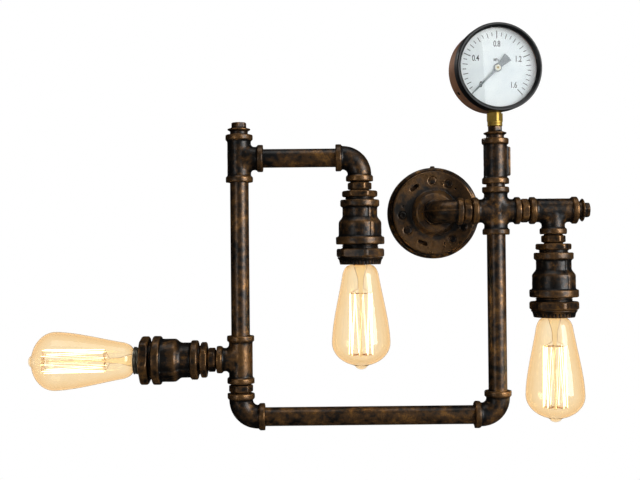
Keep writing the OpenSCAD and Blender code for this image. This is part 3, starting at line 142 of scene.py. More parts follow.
# Canopy: shallow cup pressed from steel sheet, blackened and rubbed to an antique bronze.
# Its rim stands on the wall and one screw through the rim holds it to the bracket.
def make_patina():
    """Node group for the antique bronze: black and brown clouds, copper where the Rub input is high."""
    group = bpy.data.node_groups.new("patina", "ShaderNodeTree")
    for name in ("Rub", "Brown", "Copper"):
        group.interface.new_socket(name, in_out="INPUT", socket_type="NodeSocketFloat")
    for name, kind in (("Color", "Color"), ("Roughness", "Float"),
                       ("Metallic", "Float"), ("Height", "Float")):
        group.interface.new_socket(name, in_out="OUTPUT", socket_type="NodeSocket" + kind)
    ends = group.nodes.new("NodeGroupInput").outputs
    place = add(group, "TexCoord").outputs["Object"]
    moved = add(group, "Mapping", {"Vector": place, "Location": (3.1, 1.7, 5.3)}).outputs[0]
    clouds = add(group, "TexNoise", {"Vector": place, "Scale": 36, "Detail": 5, "Roughness": 0.62,
                                     "Distortion": 0.5})
    patches = add(group, "TexNoise", {"Vector": moved, "Scale": 130, "Detail": 5, "Roughness": 0.65})
    grains = add(group, "TexNoise", {"Vector": place, "Scale": 800, "Detail": 3, "Roughness": 0.6})
    blues = add(group, "TexNoise", {"Vector": moved, "Scale": 48, "Detail": 3, "Roughness": 0.5})
    cloud = sums(group, "MULTIPLY", sums(group, "SUBTRACT", clouds.outputs["Fac"], 0.5), 3.4)
    patch = sums(group, "MULTIPLY", sums(group, "SUBTRACT", patches.outputs["Fac"], 0.5), 2.8)
    grain = sums(group, "MULTIPLY", sums(group, "SUBTRACT", grains.outputs["Fac"], 0.5), 1.7)
    stir = sums(group, "ADD", sums(group, "ADD", cloud, patch), grain)
    brown = add(group, "Clamp", {"Value": sums(group, "ADD", stir, ends["Brown"])}).outputs[0]
    cool = add(group, "MapRange", {"Value": blues.outputs["Fac"],
                                   "From Min": 0.52, "From Max": 0.66}).outputs[0]
    black = blend(group, cool, tint(14, 10, 6), tint(13, 17, 20))
    warmth = sums(group, "ADD", stir, sums(group, "MULTIPLY", ends["Brown"], 0.6))
    ochre = add(group, "MapRange", {"Value": warmth, "From Min": 0.4, "From Max": 0.95}).outputs[0]
    base = blend(group, brown, black, blend(group, ochre, tint(80, 54, 28), tint(132, 92, 38)))
    edge = add(group, "MapRange", {"Value": ends["Rub"], "From Min": 0.1, "From Max": 1.1}).outputs[0]
    uneven = sums(group, "ADD", patch, cloud)
    broken = sums(group, "ADD", 0.75, sums(group, "MULTIPLY", uneven, 0.5))
    bare = sums(group, "ADD", sums(group, "MULTIPLY", edge, broken), sums(group, "MULTIPLY", uneven, 0.3))
    worn = add(group, "Clamp", {"Value": sums(group, "MULTIPLY", bare, ends["Copper"])}).outputs[0]
    rubbed = blend(group, worn, base, tint(156, 114, 68))
    # Rub below zero turns the finish near black: dark patina in the hollows, and painted shade where a
    # piece's rub is set low.
    hollow_dark_and_shade = add(group, "MapRange", {"Value": ends["Rub"], "From Min": 0.0, "From Max": -0.5}).outputs[0]
    color = blend(group, hollow_dark_and_shade, rubbed, tint(12, 10, 9))
    out = group.nodes.new("NodeGroupOutput").inputs
    group.links.new(color, out["Color"])
    sheen = sums(group, "ADD", sums(group, "ADD", patch, grain), worn)
    rough = sums(group, "SUBTRACT", 0.4, sums(group, "MULTIPLY", sheen, 0.1))
    group.links.new(rough, out["Roughness"])
    metal = sums(group, "ADD", 0.4, sums(group, "MULTIPLY", worn, 0.5))
    group.links.new(metal, out["Metallic"])
    group.links.new(sums(group, "ADD", grains.outputs["Fac"], patches.outputs["Fac"]), out["Height"])
    return group


patina = make_patina()


def bronzed(name, brown, copper, rub=None, bump=0.25, coat=0.25, warm=None, polish=0.0, pale=0.0):
    """Antique bronze finish. rub is a set amount of rubbing, or None for the piece's own rub attribute
    plus polish. warm is a radius round the wall axis, in metres, inside which the finish is browner
    and little rubbed. pale is the share of plain grey laid over the whole finish, a painted reflection."""
    material = bpy.data.materials.new(name)
    material.use_nodes = True
    tree = material.node_tree
    shader = tree.nodes["Principled BSDF"]
    finish = add(tree, "Group", node_tree=patina)
    finish.inputs["Brown"].default_value = brown
    finish.inputs["Copper"].default_value = copper
    if warm:
        spot = add(tree, "SeparateXYZ", {0: add(tree, "TexCoord").outputs["Object"]}).outputs
        across = sums(tree, "ADD", sums(tree, "POWER", spot["X"], 2.0), sums(tree, "POWER", spot["Z"], 2.0))
        inside = add(tree, "MapRange", {"Value": sums(tree, "POWER", across, 0.5),
                                        "From Min": warm * 1.15, "From Max": warm}).outputs[0]
        for socket, outer, inner in (("Brown", brown, brown + 0.75), ("Copper", copper, 0.15)):
            shift = add(tree, "MapRange", {"Value": inside, "To Min": outer, "To Max": inner})
            tree.links.new(shift.outputs[0], finish.inputs[socket])
    if rub is None:
        worn = add(tree, "Attribute", attribute_name="rub")
        tree.links.new(sums(tree, "ADD", worn.outputs["Fac"], polish), finish.inputs["Rub"])
    else:
        finish.inputs["Rub"].default_value = rub
    relief = add(tree, "Bump", {"Height": finish.outputs["Height"], "Strength": bump, "Distance": 0.0005})
    # Painted reflection: a share of plain grey over the whole finish.
    grey_reflection = blend(tree, pale, finish.outputs["Color"], tint(124, 121, 116))
    tree.links.new(grey_reflection, shader.inputs["Base Color"])
    for socket in ("Roughness", "Metallic"):
        tree.links.new(finish.outputs[socket], shader.inputs[socket])
    tree.links.new(relief.outputs["Normal"], shader.inputs["Normal"])
    shader.inputs["Coat Weight"].default_value = coat
    shader.inputs["Coat Roughness"].default_value = 0.28
    return material


def arc(x, y, r, start, end, steps):
    """Points round (x, y), from a start to an end in degrees."""
    turns = [radians(start + (end - start) * k / steps) for k in range(steps + 1)]
    return [(x + r * cos(t), y + r * sin(t)) for t in turns]


def turned(name, outline, steps, place, thread=None):
    """Turns a closed outline of (radius, height) points, in mm, round Z and sets it in place.
    thread is its pitch, depth, lower and upper end and the radius outside which it is rolled."""
    bpy.ops.object.select_all(action="DESELECT")
    bpy.ops.mesh.primitive_circle_add(vertices=len(outline), radius=mm)
    piece = bpy.context.object
    piece.name = piece.data.name = name
    for vertex, (r, z) in zip(piece.data.vertices, outline):
        vertex.co = (r * mm, 0, z * mm)
    bpy.ops.object.mode_set(mode="EDIT")
    bpy.ops.mesh.select_all(action="SELECT")
    bpy.ops.mesh.spin(steps=steps, angle=tau, center=(0, 0, 0), axis=(0, 0, 1))
    bpy.ops.mesh.select_all(action="SELECT")
    bpy.ops.mesh.remove_doubles(threshold=0.001 * mm)
    bpy.ops.mesh.delete_loose(use_verts=True, use_edges=True, use_faces=False)
    bpy.ops.mesh.select_all(action="SELECT")
    bpy.ops.mesh.normals_make_consistent(inside=False)
    bpy.ops.object.mode_set(mode="OBJECT")
    if thread:
        pitch, depth, low, high, core = thread
        for vertex in piece.data.vertices:
            x, y, z = vertex.co / mm
            r = hypot(x, y)
            if r > core and low < z < high:
                wave = 0.5 - 0.5 * cos(tau * z / pitch - atan2(y, x))
                fade = min(1, (z - low) / pitch * 2, (high - z) / pitch * 2)
                share = 1 - depth * wave * fade / r
                vertex.co = (x * share * mm, y * share * mm, z * mm)
    piece.data.transform(place)
    bpy.ops.object.shade_smooth_by_angle(angle=radians(35))
    return piece


def rub_map(piece, passes):
    """Stores how far each point stands proud of the smoothed shape, in mm, as the rub attribute."""
    mesh = piece.data
    count = len(mesh.vertices)
    places = np.empty(count * 3)
    mesh.vertices.foreach_get("co", places)
    places = places.reshape(-1, 3) / mm
    normals = np.empty(count * 3)
    mesh.vertices.foreach_get("normal", normals)
    ends = np.empty(len(mesh.edges) * 2, dtype=np.int64)
    mesh.edges.foreach_get("vertices", ends)
    a, b = ends[0::2], ends[1::2]
    links = np.maximum(np.bincount(a, minlength=count) + np.bincount(b, minlength=count), 1)
    soft = places.copy()
    for _ in range(passes):
        for axis in range(3):
            near = np.bincount(a, soft[b, axis], count) + np.bincount(b, soft[a, axis], count)
            soft[:, axis] = 0.5 * soft[:, axis] + 0.5 * near / links
    proud = ((places - soft) * normals.reshape(-1, 3)).sum(axis=1)
    worn = mesh.attributes.new("rub", "FLOAT", "POINT")
    worn.data.foreach_set("value", proud.astype(np.float32))


def hand_over(piece, body, slot, *stands_for):
    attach(piece, body)
    if stands_for:
        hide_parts(*stands_for)


def ladder(r, low, high, step):
    """Points up a straight wall, about a step apart, so that a thread or a rub map can follow it."""
    rungs = max(2, round(abs(high - low) / step))
    return [(r, low + (high - low) * k / rungs) for k in range(rungs + 1)]


from_wall = Matrix.Rotation(radians(90), 4, "X")
sheet_finish = bronzed("canopy_bronze", 0.6, 0.6)
rim_r, cup_depth, cup_bend, sheet, nipple_hole = 53.5, 18, 4, 1.5, 10.6
plate_seat, shadow_line = 48.7, 45
cup_inside = cup_depth - sheet
wall_end = cup_depth - cup_bend - 0.4
cup = turned("canopy_cup", ladder(rim_r, 0, wall_end, 0.8)
             + arc(rim_r - cup_bend, cup_depth - cup_bend, cup_bend, 0, 90, 10)
             + [(r, cup_depth) for r in (plate_seat, 47, 26, nipple_hole)]
             + [(r, cup_inside) for r in (nipple_hole, 26, 40)]
             + arc(rim_r - cup_bend, cup_depth - cup_bend, cup_bend - sheet, 90, 0, 6)
             + ladder(rim_r - sheet, wall_end, 0, 1.2), 192, from_wall)
rub_map(cup, 12)
# Painted shadow: the cup's face is set near black in a ring from shadow_line out to the plate's seat, round
# the edge of the plate; inside the ring it is set well rubbed.
for vertex, worn in zip(cup.data.vertices, cup.data.attributes["rub"].data):
    across = hypot(vertex.co.x, vertex.co.z) / mm
    if vertex.co.y < (0.1 - cup_depth) * mm and across < plate_seat + 0.1:
        worn.value = -0.5 if across > shadow_line else 0.8
dress(cup, sheet_finish)
hand_over(cup, "pipework", "canopy_paint", "canopy")
screw_finish = bronzed("screw_bronze", 0.2, 0.5, rub=0.3)
dress_node("side_screw", screw_finish)


# Flange plate: sand cast iron, a round plate with a tapered hub, drilled and slotted.
# The lock nut clamps it on the wall nipple, in front of the canopy.
cast_lumps = bpy.data.textures.new("cast_lumps", "CLOUDS")
cast_lumps.noise_scale = 5 * mm
cast_lumps.noise_depth = 2


def cast_copy(name, node, voxel, lumps=0.25, rounds=4, seam=None):
    """Sand cast form of a CAD node: its mesh merged, remeshed, softened at the edges and made a little
    uneven. seam is the axis and place, in mm, of the mould's parting plane, and how far it stands proud."""
    bpy.ops.object.select_all(action="DESELECT")
    mesh = nodes[node].data.copy()
    mesh.transform(nodes[node].matrix_world)
    piece = bpy.data.objects.new(name, mesh)
    bpy.context.collection.objects.link(piece)
    bpy.context.view_layer.objects.active = piece
    piece.select_set(True)
    bpy.ops.object.mode_set(mode="EDIT")
    bpy.ops.mesh.select_all(action="SELECT")
    bpy.ops.mesh.remove_doubles(threshold=0.001 * mm)
    bpy.ops.object.mode_set(mode="OBJECT")
    cells = piece.modifiers.new("cells", "REMESH")
    cells.mode = "VOXEL"
    cells.voxel_size = voxel * mm
    soften = piece.modifiers.new("soften", "SMOOTH")
    soften.factor = 0.5
    soften.iterations = rounds
    uneven = piece.modifiers.new("uneven", "DISPLACE")
    uneven.texture = cast_lumps
    uneven.strength = lumps * mm
    uneven.mid_level = 1.0
    for step in (cells, soften, uneven):
        bpy.ops.object.modifier_apply(modifier=step.name)
    if seam:
        axis, height, rise = seam
        ends = [Vector(corner) for corner in nodes[node].bound_box]
        low = [min(c[k] for c in ends) for k in range(3)]
        high = [max(c[k] for c in ends) for k in range(3)]
        for vertex in piece.data.vertices:
            away = abs(vertex.co[axis] - height * mm)
            if away < mm:
                moved = vertex.co + vertex.normal * rise * (mm - away)
                vertex.co = [min(max(moved[k], low[k]), high[k]) for k in range(3)]
    bpy.ops.object.shade_smooth()
    return piece


# The plate's finish carries a little painted reflection, through pale.
plate_finish = bronzed("flange_bronze", 0.1, 1.0, warm=0.0265, polish=0.85, bump=0.4, coat=0.5, pale=0.08)
plate = cast_copy("flange_plate", "flange", 0.6, rounds=3)
head_ring, plate_face = 37.5, -23
groove_r, groove_half, groove_deep = 4.4, 0.9, 0.9
head_turns = [radians(turn) for turn in (64, 184, 304, 93, 213, 333)]
heads = [(head_ring * cos(turn), head_ring * sin(turn)) for turn in head_turns]
for vertex in plate.data.vertices:
    x, y, z = vertex.co / mm
    if y < plate_face:
        around = min(hypot(x - head_x, z - head_z) for head_x, head_z in heads)
        away = (around - groove_r) / groove_half
        if abs(away) < 1:
            vertex.co.y += groove_deep * mm * (1 - away ** 2)
rub_map(plate, 60)
hub_foot, hub_shadow = 28.5, 6
# Painted shade: a dark ring round the foot of the hub, and the face darkened to the left and right of the hub
# and lightened above and below it, for how the light falls.
for vertex, worn in zip(plate.data.vertices, plate.data.attributes["rub"].data):
    x, y, z = vertex.co / mm
    hub_foot_shade = max(0, 1 - abs(hypot(x, z) - hub_foot) / hub_shadow)
    worn.value -= 0.9 * hub_foot_shade + 0.45 * cos(2 * atan2(z, x) - 0.2)
dress(plate, plate_finish)
hand_over(plate, "pipework", "flange_cast", "flange")

stud_finish = bronzed("stud_bronze", 0.25, 0.6)
for node, piece_name in (("flange_screws", "plate_screws"), ("flange_rivets", "plate_rivets")):
    studs = cast_copy(piece_name, node, 0.3, lumps=0.1, rounds=2)
    rub_map(studs, 30)
    dress(studs, stud_finish)
    hand_over(studs, "pipework", "fastener", node)


# Pipes and plain nipples: half-inch steel pipe with screwed ends, blackened, lacquered
# and rubbed along its length. Each is screwed into the fittings at its ends.
pipe_finish = bronzed("pipe_bronze", 0.38, 0.6, rub=0.4, coat=0.3)
for name in ("column_pipe", "bottom_pipe", "left_pipe", "arm_pipe", "wall_nipple", "gauge_nipple"):
    dress_node(name, pipe_finish)


# Elbows, tees, cross and the gauge's socket: malleable iron castings with a band round each port,
# tumbled, blackened and rubbed so that bands and outer bends show copper. They are screwed on the
# pipes and nipples.
cast_finish = bronzed("cast_bronze", 0.12, 0.6, bump=0.4)
# The left tee's finish is more rubbed than the others, and lighter as painted light for the strong light on
# its right side.
rubbed_and_lit_finish = bronzed("rubbed_and_lit_bronze", 0.35, 1.0, bump=0.4, polish=0.45)
pipe_y = -65
wall_seam, pipe_seam = (2, 0.8, 0.9), (1, pipe_y, 0.4)
for name in ("wall_elbow", "lower_right_elbow", "lower_left_elbow", "arm_elbow",
             "right_tee", "left_tee", "top_tee", "gauge_socket", "cross"):
    fitting = cast_copy("cast_" + name, name, 0.75, seam=wall_seam if name == "wall_elbow" else pipe_seam)
    rub_map(fitting, 90)
    dress(fitting, rubbed_and_lit_finish if name == "left_tee" else cast_finish)
    hand_over(fitting, "pipework", "cast_fitting", name)


# Hex nipples, plugs and bushes: machined from bar or cast with a hex, with the same bronze finish.
# They join the fittings, close the open ports and step up to the sockets.
hex_finish = bronzed("hex_bronze", 0.4, 0.7, polish=0.15)


def at(x, y, z):
    """Shift to a place given in mm."""
    return Matrix.Translation(Vector((x, y, z)) * mm)


def cut_thread(piece, place, r, low, high, pitch, depth):
    """Cuts a thread, in mm, into the neck of radius r that runs from low to high along the place's Z."""
    back = place.inverted()
    for vertex in piece.data.vertices:
        x, y, z = back @ vertex.co / mm
        across = hypot(x, y)
        if low < z < high and abs(across - r) < 0.7:
            wave = 0.5 - 0.5 * cos(tau * z / pitch - atan2(y, x))
            share = 1 - depth * wave / across
            vertex.co = place @ (Vector((x * share, y * share, z)) * mm)


downwards = Matrix.Rotation(pi, 4, "X")
leftwards = Matrix.Rotation(radians(-90), 4, "Y")
lamps = {
    "left": at(-251.5, pipe_y, -164.5) @ leftwards,
    "middle": at(-89, pipe_y, 34.5) @ downwards,
    "right": at(129, pipe_y, -27) @ downwards,
}
pipe_pitch, mouth_pitch = 1.814, 2.309
for name, voxel in (("hex_nipples", 0.6), ("pipe_plugs", 0.5), ("gauge_bush", 0.5),
                    ("reducing_bushes", 0.6), ("mouth_bushes", 0.6)):
    hexes = cast_copy("bronze_" + name, name, voxel, lumps=0.15, rounds=3)
    for place in lamps.values():
        if name == "reducing_bushes":
            cut_thread(hexes, place, 16.5, 17.3, 20.7, pipe_pitch, 1.0)
        if name == "mouth_bushes":
            cut_thread(hexes, place, 20.7, 70.8, 75.7, mouth_pitch, 1.2)
    rub_map(hexes, 60)
    dress(hexes, hex_finish)
    hand_over(hexes, "pipework", "cast_fitting", name)


# Sockets: cast reducers with two ribs, notched rings at the mouths of the hanging lamps,
# and inside them the insulating body, the screw shell and the sprung contact.
for side in ("left", "middle", "right"):
    reducer = cast_copy(side + "_socket_body", side + "_reducer", 0.8, lumps=0.35)
    rub_map(reducer, 90)
    dress(reducer, cast_finish)
    hand_over(reducer, "pipework", "cast_fitting", side + "_reducer")
rings = cast_copy("notched_rings", "shade_rings", 0.45, lumps=0.1, rounds=2)
rub_map(rings, 40)
dress(rings, bronzed("ring_bronze", 0.05, 0.5))
hand_over(rings, "pipework", "shade_ring", "shade_rings")

bakelite = speckled("bakelite", (34, 30, 28), (20, 18, 17), 0.004, 0.4, coat=0.2)
nickel = speckled("nickel", (186, 184, 166), (128, 128, 112), 0.004, 0.32, metallic=0.85)
spring_brass = speckled("spring_brass", (196, 160, 82), (150, 114, 52), 0.004, 0.3, metallic=1.0)
dress_node("holder_contacts", spring_brass)
screw_pitch = 3.629
for side, place in lamps.items():
    dress_node(side + "_holder", bakelite)
    shell = turned(side + "_screw_shell", ladder(15.45, 61.5, 92.5, 0.4) + [(13.8, 92.5)]
                   + ladder(13.6, 92.2, 62.6, 0.6) + [(8.2, 62.5), (8.2, 61.5)], 72, place,
                   thread=(screw_pitch, 0.9, 64, 92.4, 14.5))
    dress(shell, nickel)
    hand_over(shell, "pipework", "holder_shell", side + "_shell")


# Bulbs: blown amber glass drawn out to a pip, sealed to a threaded brass cap. Inside, a glass stem
# carries two spiders of wire between which the filament runs up and down as a cage, lit.
def curve(a, b, c, d, steps):
    """Points on the curve from a to d that b and c draw towards them, without a itself."""
    points = []
    for k in range(1, steps + 1):
        t = k / steps
        shares = ((1 - t) ** 3, 3 * (1 - t) ** 2 * t, 3 * (1 - t) * t * t, t ** 3)
        points.append(tuple(sum(share * value for share, value in zip(shares, values))
                            for values in zip(a, b, c, d)))
    return points


def glass_wall(inset):
    """Outline of the bulb from its neck to the end of its pip, moved in by a wall."""
    neck_r, belly_r, belly_z, dome = 12 - inset, 32.9 - inset, 88, 26 - inset
    neck, waist, belly = (neck_r, 0.6), (20.4 - inset, 11), (belly_r, belly_z)
    line = [(neck_r, -3.5), (neck_r, -1.5), neck]
    line += curve(neck, (16.5 - inset, 1.0), (18.8 - inset, 5.5), waist, 10)
    line += curve(waist, (24.4 - inset, 35.6), (belly_r - 0.4, 64.2), belly, 30)
    steps, dome_end = 24, 72
    swing = [radians(dome_end * k / steps) for k in range(1, steps + 1)]
    line += [(belly_r * cos(t), belly_z + dome * sin(t)) for t in swing]
    shoulder, end = (6.4 - inset, 115 - inset), (0, 118 - inset)
    line += curve(line[-1], (8.2 - inset, 113.5 - inset), (7.2 - inset, 113.8 - inset), shoulder, 8)
    line += curve(shoulder, (5.4 - inset, 116.8 - inset), (3.2 - inset, 118 - inset), end, 10)
    return line


def amber_glass():
    """Blown amber glass, deeper in colour towards its outline, where a painted glow stands in for the light
    of the lit filament.
    """
    material, tree, shader, mottle = mottled("amber_glass", (254, 244, 224), (253, 240, 214), 0.02, 0.03)
    facing = add(tree, "LayerWeight", {"Blend": 0.45}).outputs["Facing"]
    color = blend(tree, facing, mottle["Color"], tint(252, 214, 156))
    tree.links.new(color, shader.inputs["Base Color"])
    shader.inputs["Roughness"].default_value = 0.02
    shader.inputs["Transmission Weight"].default_value = 1.0
    shader.inputs["IOR"].default_value = 1.38
    # Painted glow: the outline of the glass gives off warm light of its own.
    rim = add(tree, "MapRange", {"Value": facing, "From Min": 0.62, "From Max": 0.95}).outputs[0]
    painted_glow = blend(tree, rim, (0, 0, 0, 1), tint(238, 188, 122))
    tree.links.new(painted_glow, shader.inputs["Emission Color"])
    shader.inputs["Emission Strength"].default_value = 0.45
    return material


def glowing():
    """Filament strands, lit."""
    material, tree, shader, mottle = mottled("lit_filament", (255, 244, 214), (255, 226, 160), 0.004, 0.5)
    tree.links.new(mottle["Color"], shader.inputs["Emission Color"])
    shader.inputs["Emission Strength"].default_value = 4.5
    return material


def clear_glass(name, light, dark, bend):
    """Clear glass with a faint tone. bend is its index of refraction."""
    material, tree, shader, mottle = mottled(name, light, dark, 0.02, 0.02)
    shader.inputs["Roughness"].default_value = 0.01
    shader.inputs["Transmission Weight"].default_value = 1.0
    shader.inputs["IOR"].default_value = bend
    return material


def wires(name, runs, thickness, place):
    """Round wires along runs of (x, y, z) points in mm, as one mesh."""
    bpy.ops.object.select_all(action="DESELECT")
    path = bpy.data.curves.new(name, "CURVE")
    path.dimensions = "3D"
    path.bevel_depth = thickness / 2 * mm
    path.bevel_resolution = 1
    path.use_fill_caps = True
    for run in runs:
        spline = path.splines.new("POLY")
        spline.points.add(len(run) - 1)
        for point, spot in zip(spline.points, run):
            point.co = (*(c * mm for c in spot), 1)
    bent = bpy.data.objects.new(name, path)
    bpy.context.collection.objects.link(bent)
    bpy.context.view_layer.objects.active = bent
    bent.select_set(True)
    bpy.ops.object.convert(target="MESH")
    piece = bpy.context.object
    piece.data.transform(place)
    bpy.ops.object.shade_smooth_by_angle(angle=radians(50))
    return piece


amber = amber_glass()
lit = glowing()
stem_glass = clear_glass("stem_glass", (253, 243, 222), (252, 238, 210), 1.07)
spider_wire = speckled("spider_wire", (196, 128, 62), (160, 92, 40), 0.003, 0.45, metallic=0.4)
hooks = 9
hook_low, hook_high = 32.4, 101.4
wire, strand = 0.5, 0.8
cap_brass = speckled("cap_brass", (206, 176, 102), (168, 134, 66), 0.004, 0.28, metallic=1.0)
mouth, glass_thickness = 93.5, 0.9
wall = glass_wall(0) + glass_wall(glass_thickness)[::-1]
for side, place in lamps.items():
    glass = turned(side + "_bulb_glass", [(r, z + mouth) for r, z in wall], 96, place)
    dress(glass, amber)
    hand_over(glass, side + "_bulb", "bulb_glass", side + "_glass")
    rim = mouth - 0.4
    cap = turned(side + "_bulb_cap", [(0, 65.5), (4.2, 65.5), (4.8, 66.3), (9.2, 68.5)]
                 + ladder(13.1, 71.5, 92.3, 0.35) + [(12.8, rim), (12.4, rim), (12.2, 91.5)]
                 + [(11.4, 74), (11.4, 72.5), (0, 72.5)], 72, place,
                 thread=(screw_pitch, 0.8, 72, 90.5, 12.6))
    dress(cap, cap_brass)
    hand_over(cap, side + "_base", "bulb_cap", side + "_cap")
    stem = turned(side + "_bulb_stem", [(r, z + mouth) for r, z in (
        (0, -20.5), (2.2, -20.5), (2.2, -4.5), (10.7, -3.5), (10.7, -2.6), (8.2, -0.5), (6.2, 3),
        (4.8, 8), (3.8, 12), (3.2, 16), (2.5, 24), (2.2, 29.5), (2.6, 31), (2.6, 33.5), (2.0, 35),
        (1.1, 37), (1.1, 97), (2.0, 99.5), (2.6, 100.5), (2.6, 102.5), (1.8, 103.8),
        (0, 104.4))], 40, place)
    dress(stem, stem_glass)
    hand_over(stem, side + "_base", "bulb_filament", side + "_filament")

    rims = [(12.5, hook_low, 0), (13.5, hook_high, 0.5)]
    ring = []
    for r, z, turn in rims:
        angles = [tau * (k + turn) / hooks for k in range(hooks)]
        ring.append([(r * cos(t), r * sin(t), z + mouth) for t in angles])
    spokes = [[(2.2 * x / 13, 2.2 * y / 13, z), (x * 0.6, y * 0.6, z + 0.4), (x * 1.02, y * 1.02, z)]
              for x, y, z in ring[0] + ring[1]]
    for x, y, z in (ring[0][0], ring[0][4]):
        spokes.append([(0.75 * x, 0.75 * y, mouth - 2.6), (0.26 * x, 0.26 * y, mouth + 15.5),
                       (0.24 * x, 0.24 * y, mouth + 27), (x, y, z)])
    spider = wires(side + "_bulb_spiders", spokes, wire, place)
    dress(spider, spider_wire)
    hand_over(spider, side + "_base", "bulb_filament", side + "_filament")

    legs = [point for pair in zip(ring[0], ring[1]) for point in pair]
    strands = wires(side + "_bulb_strands", [legs], strand, place)
    dress(strands, lit)
    hand_over(strands, side + "_base", "bulb_filament", side + "_filament")


# Gauge: drawn steel case, black enamelled bezel over a glass, white dial printed in black,
# brass stem and works. The stem is screwed into the bored plug on the ribbed socket.
gauge_turn = 9
at_gauge = at(64.5, pipe_y, 159.8) @ Matrix.Rotation(radians(gauge_turn), 4, "Z") @ from_wall
case_finish = speckled("case_paint", (206, 150, 112), (160, 116, 88), 0.03, 0.34,
                       metallic=0.35, bump=0.02, coat=0.5)
case_r, case_back, case_front, case_bend, case_wall = 48.1, -21, 13, 4, 1.6
bend_at = (case_r - case_bend, case_back + case_bend)
case = turned("gauge_cup", [(0, case_back)] + arc(*bend_at, case_bend, -90, 0, 10)
              + ladder(case_r, case_back + 5, case_front, 2) + [(case_r - case_wall, case_front)]
              + arc(*bend_at, case_bend - case_wall, 0, -90, 6) + [(0, case_back + case_wall)], 192, at_gauge)
dress(case, case_finish)
hand_over(case, "pipework", "gauge_paint", "gauge_case")

case_side = (at_gauge @ Matrix.Rotation(radians(213.7), 4, "Z") @ at(47.8, 0, -6)
             @ Matrix.Rotation(radians(90), 4, "Y"))
case_screw = turned("case_screw", [(0, 0), (2.4, 0), (2.4, 0.5), (1.9, 1.0), (0.9, 1.25), (0, 1.3)],
                    32, case_side)
bpy.ops.mesh.primitive_cube_add(size=1)
driver_slot = bpy.context.object
slot_shape = Matrix.Diagonal((0.7 * mm, 8 * mm, 1.2 * mm, 1))
driver_slot.data.transform(case_side @ at(0, 0, 1.2) @ slot_shape)
slotted = case_screw.modifiers.new("slotted", "BOOLEAN")
slotted.operation = "DIFFERENCE"
slotted.object = driver_slot
bpy.context.view_layer.objects.active = case_screw
bpy.ops.object.modifier_apply(modifier=slotted.name)
bpy.data.objects.remove(driver_slot)
dress(case_screw, screw_finish)
hand_over(case_screw, "pipework", "fastener")

enamel = speckled("black_enamel", (11, 14, 16), (7, 9, 11), 0.008, 0.42, bump=0.02, coat=0.1)
bezel = turned("gauge_ring", [(48.2, 8), (49.2, 8), (49.5, 8.4), (49.5, 12)] + arc(48, 18.48, 1.5, 0, 90, 8)
               + arc(47.4, 19.0, 0.9, 80, 130, 4) + arc(45.2, 16.6, 0.9, 125, 180, 5)
               + [(44.3, 15.5), (48.2, 15.5)], 192, at_gauge)
# The bezel casts no shadow, so that the dial stays evenly lit up to its edge.
bezel.visible_shadow = False
dress(bezel, enamel)
hand_over(bezel, "pipework", "bezel_enamel", "gauge_bezel")

stem_brass = speckled("stem_brass", (200, 170, 88), (166, 134, 56), 0.006, 0.5, metallic=0.85)
for name in ("gauge_stem", "gauge_movement", "bourdon_tube", "gauge_pinion", "gauge_sector", "gauge_link"):
    dress_node(name, stem_brass)

dial_white = speckled("dial_white", (238, 242, 242), (226, 232, 234), 0.02, 0.35)
dress_node("gauge_dial", dial_white)
print_black = speckled("print_black", (16, 19, 22), (10, 12, 14), 0.003, 0.5)


def printed(name, meshes):
    """Joins flat printed marks to one piece."""
    bpy.ops.object.select_all(action="DESELECT")
    for mark in meshes:
        mark.select_set(True)
    bpy.context.view_layer.objects.active = meshes[0]
    bpy.ops.object.join()
    meshes[0].name = meshes[0].data.name = name
    dress(meshes[0], print_black)
    hand_over(meshes[0], "pipework", "pointer_paint")


def dial_mark(angle, start, end, width):
    bpy.ops.object.select_all(action="DESELECT")
    bpy.ops.mesh.primitive_cube_add(size=1)
    mark = bpy.context.object
    shape = Matrix.Diagonal(((end - start) * mm, width * mm, 0.08 * mm, 1))
    along = at((start + end) / 2, 0, dial_face)
    mark.data.transform(at_gauge @ Matrix.Rotation(radians(angle), 4, "Z") @ along @ shape)
    return mark


dial_face, first_angle, sweep, parts = 8.84, 225, 270, 32
marks = []
for k in range(parts + 1):
    angle = first_angle - sweep * k / parts
    inner_end, outer_end, width = (33.4, 41.7, 1.0) if k % 8 == 0 else (34.4 + k % 2 * 1.6, 40.2, 0.8)
    marks.append(dial_mark(angle, inner_end, outer_end, width))
printed("dial_marks", marks)


def dial_word(words, size, x, y):
    bpy.ops.object.select_all(action="DESELECT")
    bpy.ops.object.text_add()
    line = bpy.context.object
    line.data.body = words
    line.data.size = size * mm
    line.data.align_x = "CENTER"
    line.data.align_y = "CENTER"
    line.data.extrude = 0.04 * mm
    line.data.offset = 0.015 * size * mm
    bpy.ops.object.convert(target="MESH")
    word = bpy.context.object
    narrow = Matrix.Diagonal((0.8, 1.1, 1, 1))
    word.data.transform(at_gauge @ at(x, y, dial_face) @ narrow)
    return word


words, number_r = [], 27
for k, number in enumerate(("0", "0.4", "0.8", "1.2", "1.6")):
    turn = radians(first_angle - sweep * k / 4)
    words.append(dial_word(number, 8.5, number_r * cos(turn), number_r * sin(turn)))
words.append(dial_word("MPa", 4.6, -1, 9))
printed("dial_numbers", words)

# The pointer's black paint is set mid grey, a painted reflection of the light on the window.
needle_paint_and_reflection = speckled("needle_paint_and_reflection", (124, 132, 136), (106, 114, 118), 0.01, 0.4)
dress_node("gauge_pointer", needle_paint_and_reflection)
needle_cap = turned("pointer_cap", [(1.35, 11.6), (3.4, 11.6), (3.4, 11.9), (2.8, 12.3), (1.35, 12.4)],
                    40, at_gauge)
dress(needle_cap, speckled("cap_white", (246, 242, 226), (232, 226, 204), 0.004, 0.4))
hand_over(needle_cap, "pointer", "pointer_paint")

dress_node("gauge_window", clear_glass("clear_glass", (248, 250, 250), (243, 246, 247), 1.45))


